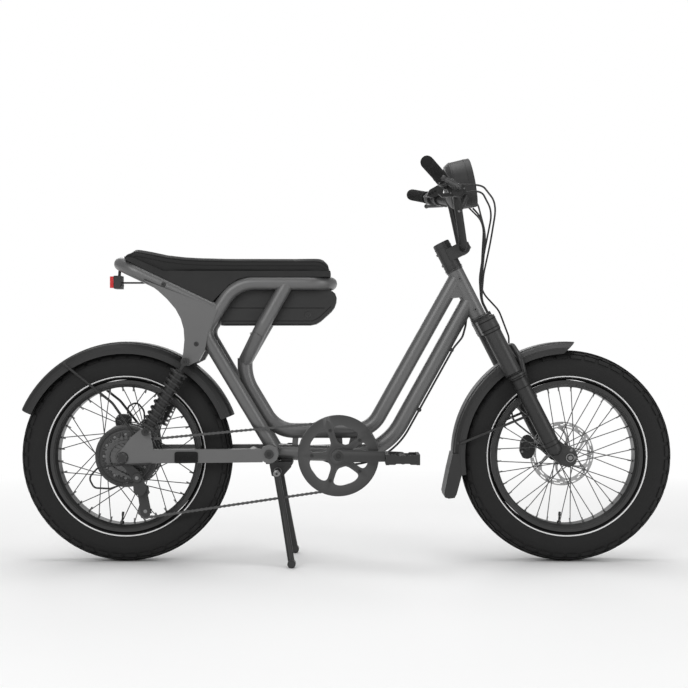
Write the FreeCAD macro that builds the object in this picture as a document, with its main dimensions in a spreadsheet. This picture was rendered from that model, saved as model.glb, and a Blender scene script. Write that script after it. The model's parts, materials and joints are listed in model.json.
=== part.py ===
import FreeCAD, Part
import math
import os
import Sketcher

# Electric bike with fat tyres, a moped-style frame and a sprung swingarm.
# Millimetres, +X forward, +Y to the rider's left, +Z up.
# The origin is on the ground, midway between the two wheel centres.
# The bike is parked on its deployed centre stand.

V = FreeCAD.Vector
doc = FreeCAD.newDocument("ElectricBike")
sheet = doc.addObject("Spreadsheet::Sheet", "Sizes")

# Driving dimensions: alias, value, what it is.
DRIVING = [
    ("wheelbase", 1215, "distance between the axles"),
    ("tyre_radius", 292, "outer radius of both tyres"),
    ("tyre_width", 98, "section width of both tyres"),
    ("rim_bed", 205, "radius where a tyre sits on its rim"),
    ("rim_lip", 209, "outer radius of a rim"),
    ("rim_inner", 190, "radius of the spoke bed"),
    ("rim_width", 77, "rim width"),
    ("lip_wall", 2.7, "thickness of a rim lip"),
    ("spoke_radius", 1.3, "spoke wire radius"),
    ("spoke_count", 36, "spokes in one wheel"),
    ("hub_flange", 29, "front hub flange radius"),
    ("hub_barrel", 19, "front hub barrel radius"),
    ("front_axle", 6, "front axle radius"),
    ("rear_axle", 7, "rear axle radius"),
    ("run_gap", 0.05, "radial clearance of a running fit"),
    ("rotor_radius", 90, "brake disc radius"),
    ("rotor_wall", 2, "brake disc thickness"),
    ("motor_radius", 79, "hub motor radius"),
    ("motor_width", 84, "hub motor width"),
    ("freewheel_radius", 57, "largest sprocket"),
    ("head_angle", 27, "steering axis from the vertical, degrees"),
    ("fork_offset", 40, "front axle ahead of the steering axis"),
    ("fork_length", 447, "axle foot to the bottom of the head tube"),
    ("head_length", 154, "head tube length"),
    ("head_radius", 23, "head tube outer radius"),
    ("steerer_radius", 14.3, "steerer radius"),
    ("spine_radius", 21, "upper spine tube radius"),
    ("down_radius", 22, "lower spine tube radius"),
    ("rail_radius", 19, "seat rail tube radius"),
    ("rail_half", 62, "rail centre from the middle plane"),
    ("bracket_x", -22, "bottom bracket centre, forward"),
    ("bracket_z", 297, "bottom bracket centre, up"),
    ("shell_radius", 24, "bottom bracket shell radius"),
    ("shell_half", 50, "half the shell's width"),
    ("crank_length", 170, "bottom bracket to pedal axle"),
    ("crank_low", 90, "crank arm's middle at the spindle"),
    ("crank_out", 109, "crank arm's middle at the pedal"),
    ("guard_radius", 111, "chain guard radius"),
    ("ring_radius", 92, "chainring pitch radius"),
    ("chain_half", 70, "chain line from the middle plane"),
    ("chain_width", 5, "chain width"),
    ("pedal_in", 122, "pedal's inner face"),
    ("pedal_long", 90, "pedal length"),
    ("pedal_wide", 95, "pedal width across the bike"),
    ("pedal_high", 28, "pedal thickness"),
    ("pivot_x", -210, "swingarm pivot, forward"),
    ("pivot_z", 302, "swingarm pivot, up"),
    ("arm_high", 38, "swingarm tube height"),
    ("arm_in", 76, "swingarm's inner face"),
    ("arm_out", 94.5, "swingarm's outer face"),
    ("plate_wall", 7, "dropout plate thickness"),
    ("shock_y", 102.8, "shock centre from the middle plane"),
    ("spring_radius", 23, "shock spring outer radius"),
    ("spring_wire", 3.4, "spring wire radius"),
    ("leg_half", 82, "fork leg from the middle plane"),
    ("leg_radius", 22, "fork lower leg radius"),
    ("stanchion_radius", 17.5, "fork upper leg radius"),
    ("leg_ahead", 13, "fork leg ahead of the steering axis"),
    ("cover_radius", 23.5, "cover round a fork upper leg"),
    ("seal_height", 266, "top of a lower leg above the axle foot"),
    ("crown_low", 402, "underside of the crown above the axle foot"),
    ("crown_high", 40, "crown height"),
    ("fender_half", 58, "half the width of a fender"),
    ("fender_wall", 2.5, "fender thickness"),
    ("fender_radius", 316, "fender outer radius"),
    ("skirt_radius", 283, "lower edge of a fender's skirts"),
    ("bar_radius", 11, "handlebar tube radius"),
    ("bar_half", 370, "half the handlebar's width"),
    ("grip_radius", 16, "grip radius"),
    ("grip_long", 128, "grip length"),
    ("lamp_radius", 68, "headlight radius"),
    ("battery_half", 40, "half the battery's width"),
    ("stand_x", -189.5, "stand pivot, forward"),
    ("stand_z", 250, "stand pivot, up"),
    ("stand_lean", 10, "deployed stand ahead of the vertical, degrees"),
    ("stand_tube", 9, "stand tube radius"),
    ("foot_radius", 11, "stand foot radius"),
    ("foot_half", 130, "stand foot from the middle plane"),
    ("seat_half", 88, "half the seat's width"),
    ("hose_radius", 2.5, "brake hose and cable radius"),
]
for row, (alias, value, note) in enumerate(DRIVING, start=1):
    sheet.set("A%d" % row, alias)
    sheet.set("B%d" % row, str(value))
    sheet.set("C%d" % row, note)
    sheet.setAlias("B%d" % row, alias)
doc.recompute()


def size(alias):
    """Value of one driving dimension."""
    return float(sheet.get(alias))


def cell(alias):
    """Expression that names one driving dimension."""
    return "Sizes." + alias


def number(text):
    """Value of an expression, or the number itself."""
    if isinstance(text, str):
        found = sheet.evalExpression(text.replace("Sizes.", ""))
        return float(getattr(found, "Value", found))
    return float(text)


nodes = {}


def node(label, item):
    """Register one finished piece under its node name."""
    item.Label = label
    nodes[label] = item
    return item


def place(item, where=V(0, 0, 0), turn=None):
    item.Placement = FreeCAD.Placement(where, turn or FreeCAD.Rotation())
    return item


def bind(item, prop, text):
    """Set a property from a number or bind it to an expression."""
    if isinstance(text, str):
        item.setExpression(prop, text)
    else:
        setattr(item, prop, text)


def rod(name, radius, start, end):
    """Round bar between two points."""
    item = doc.addObject("Part::Cylinder", name)
    along = end.sub(start)
    bind(item, "Radius", radius)
    item.Height = along.Length
    return place(item, start, FreeCAD.Rotation(V(0, 0, 1), along))


def cross_rod(name, radius, x, z, y_from, y_to):
    """Round bar across the bike."""
    return rod(name, radius, V(x, y_from, z), V(x, y_to, z))


def box(name, low, high):
    item = doc.addObject("Part::Box", name)
    item.Length, item.Width, item.Height = high.x - low.x, high.y - low.y, high.z - low.z
    return place(item, low)


def fuse(name, pieces):
    item = doc.addObject("Part::MultiFuse", name)
    item.Shapes = pieces
    item.Refine = True
    return item


def cut(name, base, tool):
    item = doc.addObject("Part::Cut", name)
    item.Base, item.Tool = base, tool
    return item


def group(name, pieces):
    """Several solids that do not touch, kept as one piece."""
    item = doc.addObject("Part::Compound", name)
    item.Links = pieces
    return item


def mirror(name, source):
    """The same piece on the other side of the middle plane."""
    item = doc.addObject("Part::Mirroring", name)
    item.Source, item.Normal, item.Base = source, V(0, 1, 0), V(0, 0, 0)
    return item


def pair(name, source):
    """A piece and its mirror image."""
    return group(name, [source, mirror(name + "_left", source)])


def sketch_on(body, role, corners):
    """Closed polygon on an origin plane, each corner bound to its expressions."""
    sketch = body.newObject("Sketcher::SketchObject", body.Name + "_outline")
    plane = [f for f in body.Origin.OriginFeatures if f.Role == role][0]
    sketch.AttachmentSupport = [(plane, "")]
    sketch.MapMode = "FlatFace"
    spots = [V(number(a), number(b), 0) for a, b in corners]
    count = len(spots)
    for i in range(count):
        sketch.addGeometry(Part.LineSegment(spots[i], spots[(i + 1) % count]), False)
    for i in range(count):
        sketch.addConstraint(Sketcher.Constraint("Coincident", i, 2, (i + 1) % count, 1))
    for i in range(count):
        for kind, text, value in zip(("DistanceX", "DistanceY"), corners[i], spots[i]):
            rule = sketch.addConstraint(Sketcher.Constraint(kind, -1, 1, i, 1, value))
            if isinstance(text, str):
                sketch.setExpression("Constraints[%d]" % rule, text)
    return sketch


def lathe(name, corners, centre=V(0, 0, 0), turn=None):
    """Ring about the Y axis: corners are (radius, y)."""
    body = doc.addObject("PartDesign::Body", name)
    sketch = sketch_on(body, "XY_Plane", corners)
    ring = body.newObject("PartDesign::Revolution", name + "_turned")
    ring.Profile = sketch
    ring.ReferenceAxis = (sketch, ["V_Axis"])
    ring.Angle = 360
    return place(body, centre, turn)


def plate(name, corners, thickness, y_middle=0.0):
    """Flat plate in the side view: corners are (x, z), thickness is across the bike."""
    body = doc.addObject("PartDesign::Body", name)
    sketch = sketch_on(body, "XZ_Plane", corners)
    pad = body.newObject("PartDesign::Pad", name + "_pad")
    pad.Profile = sketch
    bind(pad, "Length", thickness)
    pad.Midplane = True
    return place(body, V(0, y_middle, 0))


def arc_path(points, radii):
    """Wire of straight runs joined by tangent arcs; radii are for the inner points."""
    edges, last = [], points[0]
    for i, radius in enumerate(radii, start=1):
        corner = points[i]
        before = points[i - 1].sub(corner).normalize()
        after = points[i + 1].sub(corner).normalize()
        half_turn = before.getAngle(after) / 2
        reach = radius / math.tan(half_turn)
        start, end = corner + before * reach, corner + after * reach
        bisector = (before + after).normalize()
        middle = corner + bisector * (radius / math.sin(half_turn) - radius)
        if last.sub(start).Length > 0.01:
            edges.append(Part.LineSegment(last, start).toShape())
        edges.append(Part.Arc(start, middle, end).toShape())
        last = end
    if last.sub(points[-1]).Length > 0.01:
        edges.append(Part.LineSegment(last, points[-1]).toShape())
    return Part.Wire(edges)


def tube(name, radius, points, radii=()):
    """Round tube swept along straight runs and arcs."""
    spine = doc.addObject("Part::Feature", name + "_path")
    spine.Shape = arc_path(points, radii)
    profile = doc.addObject("Part::Circle", name + "_section")
    bind(profile, "Radius", radius)
    place(profile, points[0], FreeCAD.Rotation(V(0, 0, 1), points[1].sub(points[0])))
    item = doc.addObject("Part::Sweep", name)
    item.Sections = [profile]
    item.Spine = (spine, ["Edge%d" % (i + 1) for i in range(len(spine.Shape.Edges))])
    item.Solid = True
    item.Frenet = False
    item.Transition = "Right corner"
    return item


# Places that several pieces share.
FRONT_X = size("wheelbase") / 2
REAR_X = -FRONT_X
AXLE_Z = size("tyre_radius")
FRONT_HUB = V(FRONT_X, 0, AXLE_Z)
REAR_HUB = V(REAR_X, 0, AXLE_Z)
BRACKET = V(size("bracket_x"), 0, size("bracket_z"))
PIVOT = V(size("pivot_x"), 0, size("pivot_z"))
STAND = V(size("stand_x"), 0, size("stand_z"))
AXIS_TURN = FreeCAD.Rotation(V(0, 1, 0), -size("head_angle"))
AXIS_FOOT = FRONT_HUB.sub(AXIS_TURN.multVec(V(size("fork_offset"), 0, 0)))
RAIL_Y = size("rail_half")


def steer(x, y, z):
    """Point given in the steering frame: z up the axis from the axle foot, x ahead of it."""
    return AXIS_FOOT.add(AXIS_TURN.multVec(V(x, y, z)))


def steered(item, x=0.0, y=0.0, z=0.0):
    """Put a piece that was made in the steering frame in its place."""
    return place(item, steer(x, y, z), AXIS_TURN)


# Wheels
# Tyre section: depth below the tread, share of half the width.
TYRE_SECTION = [(9, 0.78), (50, 1.0)]
BEAD_SHARE = 0.64


def make_tyre(name, centre):
    half = []
    for depth, share in TYRE_SECTION:
        half.append(("%s - %s" % (cell("tyre_radius"), depth), "%s / 2 * %s" % (cell("tyre_width"), share)))
    half.append((cell("rim_bed"), "%s / 2 * %s" % (cell("tyre_width"), BEAD_SHARE)))
    other = [(radius, "-1 * (%s)" % y) for radius, y in reversed(half)]
    return lathe(name, [(cell("tyre_radius"), 0)] + half + other, centre)


def make_rim(name, centre):
    lip = "%s / 2" % cell("rim_width")
    inside = "%s / 2 - %s" % (cell("rim_width"), cell("lip_wall"))
    half = [
        (cell("rim_inner"), "%s * 0.29" % cell("rim_width")),
        ("%s + 9" % cell("rim_inner"), lip),
        (cell("rim_lip"), lip),
        (cell("rim_lip"), inside),
        (cell("rim_bed"), inside),
    ]
    other = [(radius, "-1 * (%s)" % y) for radius, y in reversed(half)]
    return lathe(name, half + other, centre)


SPOKE_SPREAD = 3.5
SPOKE_RIM_Y = 8
SPOKE_RIM_SPREAD = 2.0
RIM_GAP = 0.8


def make_spokes(name, centre, flange_radius, flange_y, lead):
    """Crossed spokes from both flanges to the rim; lead is how far a spoke turns, in degrees."""
    wires = []
    count = int(size("spoke_count"))
    for k in range(count):
        side = 1 if k % 2 else -1
        sense = 1 if (k // 2) % 2 else -1
        rim_angle = 2 * math.pi * (k + 0.5) / count
        hub_angle = rim_angle + sense * math.radians(lead)
        hub_y = side * (flange_y + sense * SPOKE_SPREAD)
        rim_y = side * (SPOKE_RIM_Y + sense * SPOKE_RIM_SPREAD)
        rim_reach = size("rim_inner") - RIM_GAP
        start = V(flange_radius * math.cos(hub_angle), hub_y, flange_radius * math.sin(hub_angle))
        end = V(rim_reach * math.cos(rim_angle), rim_y, rim_reach * math.sin(rim_angle))
        wires.append(rod("%s_%d" % (name, k), cell("spoke_radius"), centre.add(start), centre.add(end)))
    return wires


ROTOR_Y = 50.0
ROTOR_BAND = 15
ROTOR_CENTRE = 23
ROTOR_BORE = 13
ROTOR_ARMS = 6


def make_rotor(name, centre):
    """Brake disc on the wheel's left side."""
    inner, outer = ROTOR_Y, "%s + %s" % (ROTOR_Y, cell("rotor_wall"))
    rim = lathe(name + "_band", [
        ("%s - %s" % (cell("rotor_radius"), ROTOR_BAND), inner),
        (cell("rotor_radius"), inner),
        (cell("rotor_radius"), outer),
        ("%s - %s" % (cell("rotor_radius"), ROTOR_BAND), outer),
    ], centre)
    middle = lathe(name + "_middle", [
        (ROTOR_BORE, inner), (ROTOR_CENTRE, inner), (ROTOR_CENTRE, outer), (ROTOR_BORE, outer),
    ], centre)
    pieces = [rim, middle]
    arm_long = size("rotor_radius") - ROTOR_BAND - ROTOR_CENTRE + 4
    for k in range(ROTOR_ARMS):
        arm = box("%s_arm_%d" % (name, k), V(0, 0, 0), V(arm_long, size("rotor_wall"), 8))
        turn = FreeCAD.Rotation(V(0, 1, 0), 360.0 * k / ROTOR_ARMS)
        place(arm, centre.add(V(0, ROTOR_Y, 0)).add(turn.multVec(V(ROTOR_CENTRE - 2, 0, 4))), turn)
        pieces.append(arm)
    return fuse(name, pieces)


node("front_tyre", make_tyre("front_tyre", FRONT_HUB))
node("rear_tyre", make_tyre("rear_tyre", REAR_HUB))
node("front_rim", make_rim("front_rim", FRONT_HUB))
node("rear_rim", make_rim("rear_rim", REAR_HUB))
node("front_rotor", make_rotor("front_rotor", FRONT_HUB))
node("rear_rotor", make_rotor("rear_rotor", REAR_HUB))

HUB_END = 60
FLANGE_Y = 28
FLANGE_WALL = 10
hub_bore = "%s + %s" % (cell("front_axle"), cell("run_gap"))
front_hub = lathe("front_hub_turned", [
    (hub_bore, -HUB_END), (12, -HUB_END), (12, -48), (cell("hub_barrel"), -44),
    (cell("hub_barrel"), -FLANGE_Y - FLANGE_WALL / 2), (cell("hub_flange"), -FLANGE_Y - FLANGE_WALL / 2),
    (cell("hub_flange"), -FLANGE_Y + FLANGE_WALL / 2), (cell("hub_barrel"), -FLANGE_Y + FLANGE_WALL / 2),
    (cell("hub_barrel"), FLANGE_Y - FLANGE_WALL / 2), (cell("hub_flange"), FLANGE_Y - FLANGE_WALL / 2),
    (cell("hub_flange"), FLANGE_Y + FLANGE_WALL / 2), (cell("hub_barrel"), FLANGE_Y + FLANGE_WALL / 2),
    (cell("hub_barrel"), ROTOR_Y), (ROTOR_BORE, ROTOR_Y), (ROTOR_BORE, "%s + %s" % (ROTOR_Y, cell("rotor_wall"))),
    (12, "%s + %s" % (ROTOR_Y, cell("rotor_wall"))), (12, HUB_END), (hub_bore, HUB_END),
], FRONT_HUB)
front_spokes = make_spokes("front_spoke", FRONT_HUB, size("hub_flange") - 4, FLANGE_Y, 58)
node("front_hub", fuse("front_hub", [front_hub] + front_spokes))

motor_bore = "%s + %s" % (cell("rear_axle"), cell("run_gap"))
motor_half = "%s / 2" % cell("motor_width")
MOTOR_FLANGE = 7
MOTOR_FLANGE_Y = 27
motor_rim = "%s + %s" % (cell("motor_radius"), MOTOR_FLANGE)
motor = lathe("motor_turned", [
    (motor_bore, -ROTOR_Y), (44, -ROTOR_Y), (50, "-1 * " + motor_half),
    ("%s - 8" % cell("motor_radius"), "-1 * (%s) + 3" % motor_half),
    (cell("motor_radius"), -MOTOR_FLANGE_Y - 6), (motor_rim, -MOTOR_FLANGE_Y - 5),
    (motor_rim, -MOTOR_FLANGE_Y + 5), (cell("motor_radius"), -MOTOR_FLANGE_Y + 6),
    (cell("motor_radius"), MOTOR_FLANGE_Y - 6), (motor_rim, MOTOR_FLANGE_Y - 5),
    (motor_rim, MOTOR_FLANGE_Y + 5), (cell("motor_radius"), MOTOR_FLANGE_Y + 6),
    ("%s - 8" % cell("motor_radius"), "%s - 3" % motor_half), (50, motor_half),
    (44, ROTOR_Y), (ROTOR_BORE, ROTOR_Y), (ROTOR_BORE, 66), (motor_bore, 66),
], REAR_HUB)
rear_spokes = make_spokes("rear_spoke", REAR_HUB, size("motor_radius") + MOTOR_FLANGE - 4, MOTOR_FLANGE_Y, 34)
node("rear_hub", fuse("rear_hub", [motor] + rear_spokes))

# Freewheel: seven sprockets that step down outward
SPROCKET_PITCH = 4.4
SPROCKET_WALL = 2.2
SPROCKET_RADII = [57, 52, 47, 42, 37, 32.5, 28.5]
BODY_RADIUS = 22
steps = [(motor_bore, -ROTOR_Y)]
steps.append((BODY_RADIUS, -ROTOR_Y))
for k, drop in enumerate(SPROCKET_RADII):
    tooth = "%s - %s" % (cell("freewheel_radius"), SPROCKET_RADII[0] - drop)
    y = -(ROTOR_Y + 2 + k * SPROCKET_PITCH)
    steps += [(BODY_RADIUS, y), (tooth, y), (tooth, y - SPROCKET_WALL), (BODY_RADIUS, y - SPROCKET_WALL)]
steps += [(BODY_RADIUS, -82), (motor_bore, -82)]
node("freewheel", lathe("freewheel", steps, REAR_HUB))

# Main frame
HEAD_LOW = size("fork_length")
HEAD_TOP = HEAD_LOW + size("head_length")
head_outer = doc.addObject("Part::Cylinder", "head_outer")
bind(head_outer, "Radius", cell("head_radius"))
bind(head_outer, "Height", cell("head_length"))
steered(head_outer, z=HEAD_LOW)
head_bore = doc.addObject("Part::Cylinder", "head_bore")
bind(head_bore, "Radius", "%s + %s" % (cell("steerer_radius"), cell("run_gap")))
bind(head_bore, "Height", "%s + 20" % cell("head_length"))
steered(head_bore, z=HEAD_LOW - 10)
head_web = plate("head_web", [(280, 728), (302, 729), (338, 733), (316, 778)], 34)
# Threaded bosses for a front rack, two on each side
BOSS_REACH, BOSS_DEEP = 26, 8
BOSS_RADIUS, BOSS_HOLE = 6, 2.5
BOSS_HEIGHTS = [569.5, 474.7]
bosses, boss_holes = [], []
for k, up in enumerate(BOSS_HEIGHTS):
    spot = steer(0, 0, up)
    for side in (-1, 1):
        tag = "%d_%s" % (k, "right" if side < 0 else "left")
        bosses.append(cross_rod("boss_" + tag, BOSS_RADIUS, spot.x, spot.z, side * 18, side * BOSS_REACH))
        boss_holes.append(cross_rod("boss_hole_" + tag, BOSS_HOLE, spot.x, spot.z,
                                    side * (BOSS_REACH - BOSS_DEEP), side * BOSS_REACH))
head_solid = fuse("head_solid", [head_outer, head_web] + bosses)
node("head_tube", cut("head_tube", head_solid, fuse("head_tools", [head_bore] + boss_holes)))

SPINE_REAR_X = -282
SPINE_LOW_Z = 360.2
UPPER_ROUTE = [
    V(SPINE_REAR_X, 0, 562), V(SPINE_REAR_X, 0, 504.6), V(-195.5, 0, SPINE_LOW_Z), V(67.8, 0, SPINE_LOW_Z),
    V(306.3, 0, 786.5),
]
LOWER_ROUTE = [PIVOT, V(102.5, 0, 292), V(341.6, 0, 723)]
upper_tube = tube("upper_tube", cell("spine_radius"), UPPER_ROUTE, [130, 90, 80])
lower_tube = tube("lower_tube", cell("down_radius"), LOWER_ROUTE, [165])
node("upper_spine", cut("upper_spine", upper_tube, head_solid))

SPINDLE_RADIUS = 12
PIVOT_RADIUS = 25
PIVOT_PIN = 9
PIVOT_HALF = size("arm_in") - 0.3
shell_solid = cross_rod("shell_solid", cell("shell_radius"), BRACKET.x, BRACKET.z,
                        -size("shell_half"), size("shell_half"))
spindle_space = cross_rod("spindle_space", SPINDLE_RADIUS + size("run_gap"), BRACKET.x, BRACKET.z, -120, 120)
pivot_tube = cross_rod("pivot_tube", PIVOT_RADIUS, PIVOT.x, PIVOT.z, -PIVOT_HALF, PIVOT_HALF)
pivot_pin = cross_rod("pivot_pin", PIVOT_PIN, PIVOT.x, PIVOT.z, -size("arm_out"), size("arm_out"))
web_front = plate("web_front", [(-34, 315), (-10, 315), (-12, 345), (-27, 345)], 12)
web_rear = plate("web_rear", [(-152, 310), (-136, 310), (-133, 345), (-149, 345)], 12)
web_bracket = plate("web_bracket", [(2, 306), (40, 305), (48, 345), (12, 345)], 8)
shell_fused = fuse("shell_fused", [shell_solid, web_front])
webs_cut = cut("webs_cut", group("webs", [shell_fused, web_rear, web_bracket]),
               fuse("spines_near", [upper_tube, cut("lower_open", lower_tube, shell_solid)]))
node("bottom_bracket", cut("bottom_bracket", webs_cut, spindle_space))
node("lower_spine", cut("lower_spine", lower_tube,
                        fuse("lower_tools", [head_solid, upper_tube, shell_solid, pivot_tube])))

# Seat rails: the front loop, the seat tubes below its rear bend and the sloping rear loop
RAIL_Z = 768.4
LOOP_FRONT_X = -45
LOOP_BEND = V(-304, 0, RAIL_Z)
LOOP_KNEE = V(-391, 0, 634)
SEAT_TUBE_FOOT = V(-199, 38.5, 310)
HOOP_RADIUS = size("rail_half") - 1
REAR_HOOP = V(-626, 0, 823.1)
REAR_FOOT = V(-357, 0, 695)


def beside(point, y):
    return V(point.x, y, point.z)


def between(a, b, share):
    return a.add(b.sub(a) * share)


LOOP_SPLIT = between(LOOP_KNEE, LOOP_BEND, 0.25)
loop_front = V(LOOP_FRONT_X, 0, RAIL_Z)
seat_loop = tube("seat_loop", cell("rail_radius"), [
    beside(LOOP_SPLIT, -RAIL_Y), beside(LOOP_BEND, -RAIL_Y), beside(loop_front, -RAIL_Y),
    beside(loop_front, RAIL_Y), beside(LOOP_BEND, RAIL_Y), beside(LOOP_SPLIT, RAIL_Y),
], [95, HOOP_RADIUS, HOOP_RADIUS, 95])
node("seat_rail", seat_loop)
seat_tube = tube("seat_tube", cell("rail_radius"), [
    beside(LOOP_SPLIT, -RAIL_Y), beside(LOOP_KNEE, -RAIL_Y), beside(SEAT_TUBE_FOOT, -SEAT_TUBE_FOOT.y),
], [42])
seat_tube_pair = pair("seat_tube_pair", seat_tube)
node("seat_tubes", cut("seat_tubes", seat_tube_pair,
                       fuse("seat_tube_tools", [pivot_tube, upper_tube, lower_tube])))
rear_loop = tube("rear_loop", cell("rail_radius"), [
    beside(REAR_FOOT, -RAIL_Y), beside(REAR_HOOP, -RAIL_Y), beside(REAR_HOOP, RAIL_Y), beside(REAR_FOOT, RAIL_Y),
], [HOOP_RADIUS, HOOP_RADIUS])
node("rear_rail", cut("rear_rail", rear_loop, seat_loop))
brace = tube("brace", cell("rail_radius"), [
    V(-162, -RAIL_Y, RAIL_Z), V(-235, -RAIL_Y, 640), V(SPINE_REAR_X + 2, -10, 556),
], [70])
brace_pair = fuse("brace_pair", [brace, mirror("brace_left", brace)])
node("braces", cut("braces", brace_pair, fuse("brace_tools", [seat_loop, upper_tube])))

# Gusset plates with the shock's upper bosses
SHOCK_TOP = V(-437.2, 0, 553)
SHOCK_FOOT = V(-543.4, 0, 363.1)
EYE_HALF = 8
EYE_RADIUS = 11
GUSSET_IN, GUSSET_OUT = 62, 84
gusset_outline = [
    (-553, 776), (-513, 746), (-488, 723), (-465, 696), (-451, 670), (-443, 642), (-441, 612), (-444, 579),
    (-449, 553), (-441, 542), (-430, 542), (-401, 556), (-385, 585), (-378, 625), (-352, 692), (-373, 706),
]
gusset = plate("gusset", gusset_outline, GUSSET_OUT - GUSSET_IN, -(GUSSET_IN + GUSSET_OUT) / 2)
upper_boss = cross_rod("upper_boss", EYE_RADIUS, SHOCK_TOP.x, SHOCK_TOP.z, -(size("shock_y") - EYE_HALF), -GUSSET_IN)
gusset_right = fuse("gusset_right", [gusset, upper_boss])
gusset_tools = fuse("gusset_tools", [seat_loop, rear_loop, seat_tube_pair])
node("gusset_plates", cut("gusset_plates", pair("gusset_pair", gusset_right), gusset_tools))

# Swingarm
arm_tube = plate("arm_tube", [(-535, 277), (-535, 315), (PIVOT.x - 18, 316), (PIVOT.x - 18, 280)],
                 size("arm_out") - size("arm_in"), -(size("arm_out") + size("arm_in")) / 2)
arm_boss = cross_rod("arm_boss", PIVOT_RADIUS, PIVOT.x, PIVOT.z, -size("arm_out"), -size("arm_in"))
PLATE_IN = size("arm_out") - size("plate_wall")
dropout_outline = [
    (-585, 348), (-558, 370), (-534, 370), (-525, 316), (-525, 277), (-563, 277), (-601, 274),
    (-620, 280), (-624, 294), (-616, 308), (-604, 322),
]
dropout = plate("dropout", dropout_outline, cell("plate_wall"), -(PLATE_IN + size("arm_out")) / 2)
arm_right = fuse("arm_right", [arm_tube, arm_boss, dropout])
arm_bridge = cross_rod("arm_bridge", 15, -262, 296, -size("arm_in") - 1, size("arm_in") + 1)
arm_fused = fuse("arm_fused", [arm_right, mirror("arm_left", arm_right), arm_bridge])
AXLE_END = 103
NUT_RADIUS = 13
axle_bar = cross_rod("axle_bar", cell("rear_axle"), REAR_X, AXLE_Z, -AXLE_END, AXLE_END)
nut = cross_rod("nut", NUT_RADIUS, REAR_X, AXLE_Z, -size("arm_out") - 7, -size("arm_out"))
spacer = cross_rod("spacer", NUT_RADIUS - 1, REAR_X, AXLE_Z, -PLATE_IN, -83)
spacer_left = cross_rod("spacer_left", NUT_RADIUS - 1, REAR_X, AXLE_Z, 67, PLATE_IN)
node("rear_axle", fuse("rear_axle", [axle_bar, nut, mirror("nut_left", nut), spacer, spacer_left]))
node("swingarm", cut("swingarm", arm_fused, fuse("arm_holes", [pivot_pin, axle_bar])))
pivot_head = cross_rod("pivot_head", 13, PIVOT.x, PIVOT.z, -size("arm_out") - 2.5, -size("arm_out"))
pivot_shell = cut("pivot_shell", pivot_tube, pivot_pin)
node("pivot_shell", pivot_shell)
node("swingarm_pivot", fuse("swingarm_pivot", [pivot_pin, pivot_head, mirror("pivot_head_left", pivot_head)]))

# Twin shocks: eyes and damper in one piece, the spring around them in another
shock_length = SHOCK_TOP.sub(SHOCK_FOOT).Length
SHOCK_TURN = FreeCAD.Rotation(V(0, 1, 0), SHOCK_TOP.sub(SHOCK_FOOT))
COLLAR_RADIUS = 24
NECK_RADIUS = 7.8
COLLAR_LOW, COLLAR_TOP = 22, shock_length - 38
SLEEVE_RADIUS = size("spring_radius") - 2 * size("spring_wire")
SPRING_TURNS = 9


def make_shock(side):
    foot = V(SHOCK_FOOT.x, side * size("shock_y"), SHOCK_FOOT.z)
    top = V(SHOCK_TOP.x, side * size("shock_y"), SHOCK_TOP.z)
    tag = "right" if side < 0 else "left"
    damper = lathe("damper_" + tag, [
        (0, 4), (NECK_RADIUS, 9), (NECK_RADIUS, COLLAR_LOW - 5), (COLLAR_RADIUS, COLLAR_LOW - 5), (COLLAR_RADIUS, COLLAR_LOW),
        (SLEEVE_RADIUS - 0.3, COLLAR_LOW), (SLEEVE_RADIUS - 0.3, COLLAR_TOP), (COLLAR_RADIUS, COLLAR_TOP),
        (COLLAR_RADIUS, COLLAR_TOP + 5), (6.5, COLLAR_TOP + 8), (6.5, shock_length - 4), (0, shock_length - 4),
    ], foot, SHOCK_TURN)
    eyes = [cross_rod("eye_%s_%d" % (tag, i), EYE_RADIUS, spot.x, spot.z, spot.y - EYE_HALF, spot.y + EYE_HALF)
            for i, spot in enumerate((foot, top))]
    ridges = [(SLEEVE_RADIUS, COLLAR_LOW)]
    pitch = (COLLAR_TOP - COLLAR_LOW) / SPRING_TURNS
    for k in range(SPRING_TURNS):
        y = COLLAR_LOW + k * pitch
        ridges += [(SLEEVE_RADIUS + 1, y + 0.2 * pitch), (cell("spring_radius"), y + 0.35 * pitch),
                   (cell("spring_radius"), y + 0.65 * pitch), (SLEEVE_RADIUS + 1, y + 0.8 * pitch)]
    ridges += [(SLEEVE_RADIUS, COLLAR_TOP), (SLEEVE_RADIUS - 0.3, COLLAR_TOP), (SLEEVE_RADIUS - 0.3, COLLAR_LOW)]
    spring = lathe("spring_" + tag, ridges, foot, SHOCK_TURN)
    return fuse("shock_" + tag, [damper] + eyes), spring


shocks = [make_shock(-1), make_shock(1)]
node("shock_dampers", group("shock_dampers", [damper for damper, spring in shocks]))
node("shock_springs", group("shock_springs", [spring for damper, spring in shocks]))

# Seat, its pan and the battery
RAIL_TOP = RAIL_Z + size("rail_radius")
pan_outline = [
    (-44, RAIL_TOP - 3), (-44, 801), (-500, 801), (-588, 840), (-606, 840), (-606, 832),
    (-366, 716), (-345, 738), (-322, 762), (-296, 778), (-270, RAIL_TOP - 3),
]
pan = plate("pan", pan_outline, "2 * %s - 26" % cell("seat_half"))
node("seat_pan", cut("seat_pan", pan, fuse("rails_under", [seat_loop, rear_loop])))
cushion_outline = [
    (-500, 801.3), (-588, 840.3), (-608, 840.3), (-608, 847), (-596.7, 852.4), (-578.5, 856), (-533.7, 848.1),
    (-488.7, 839.2), (-443.7, 833.7), (-398.7, 831.3), (-308.9, 829.5), (-56, 829.5), (-42, 819), (-38, 801.3),
]
node("seat_cushion", plate("seat_cushion", cushion_outline, "2 * " + cell("seat_half")))
battery_outline = [
    (-345, 652), (-100, 652.5), (-84, 656), (-72, 663), (-42, 690), (-33, 702), (-28, 716), (-27, 729),
    (-31, 740), (-38, 746), (-48, 749), (-345, 749),
]
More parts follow.
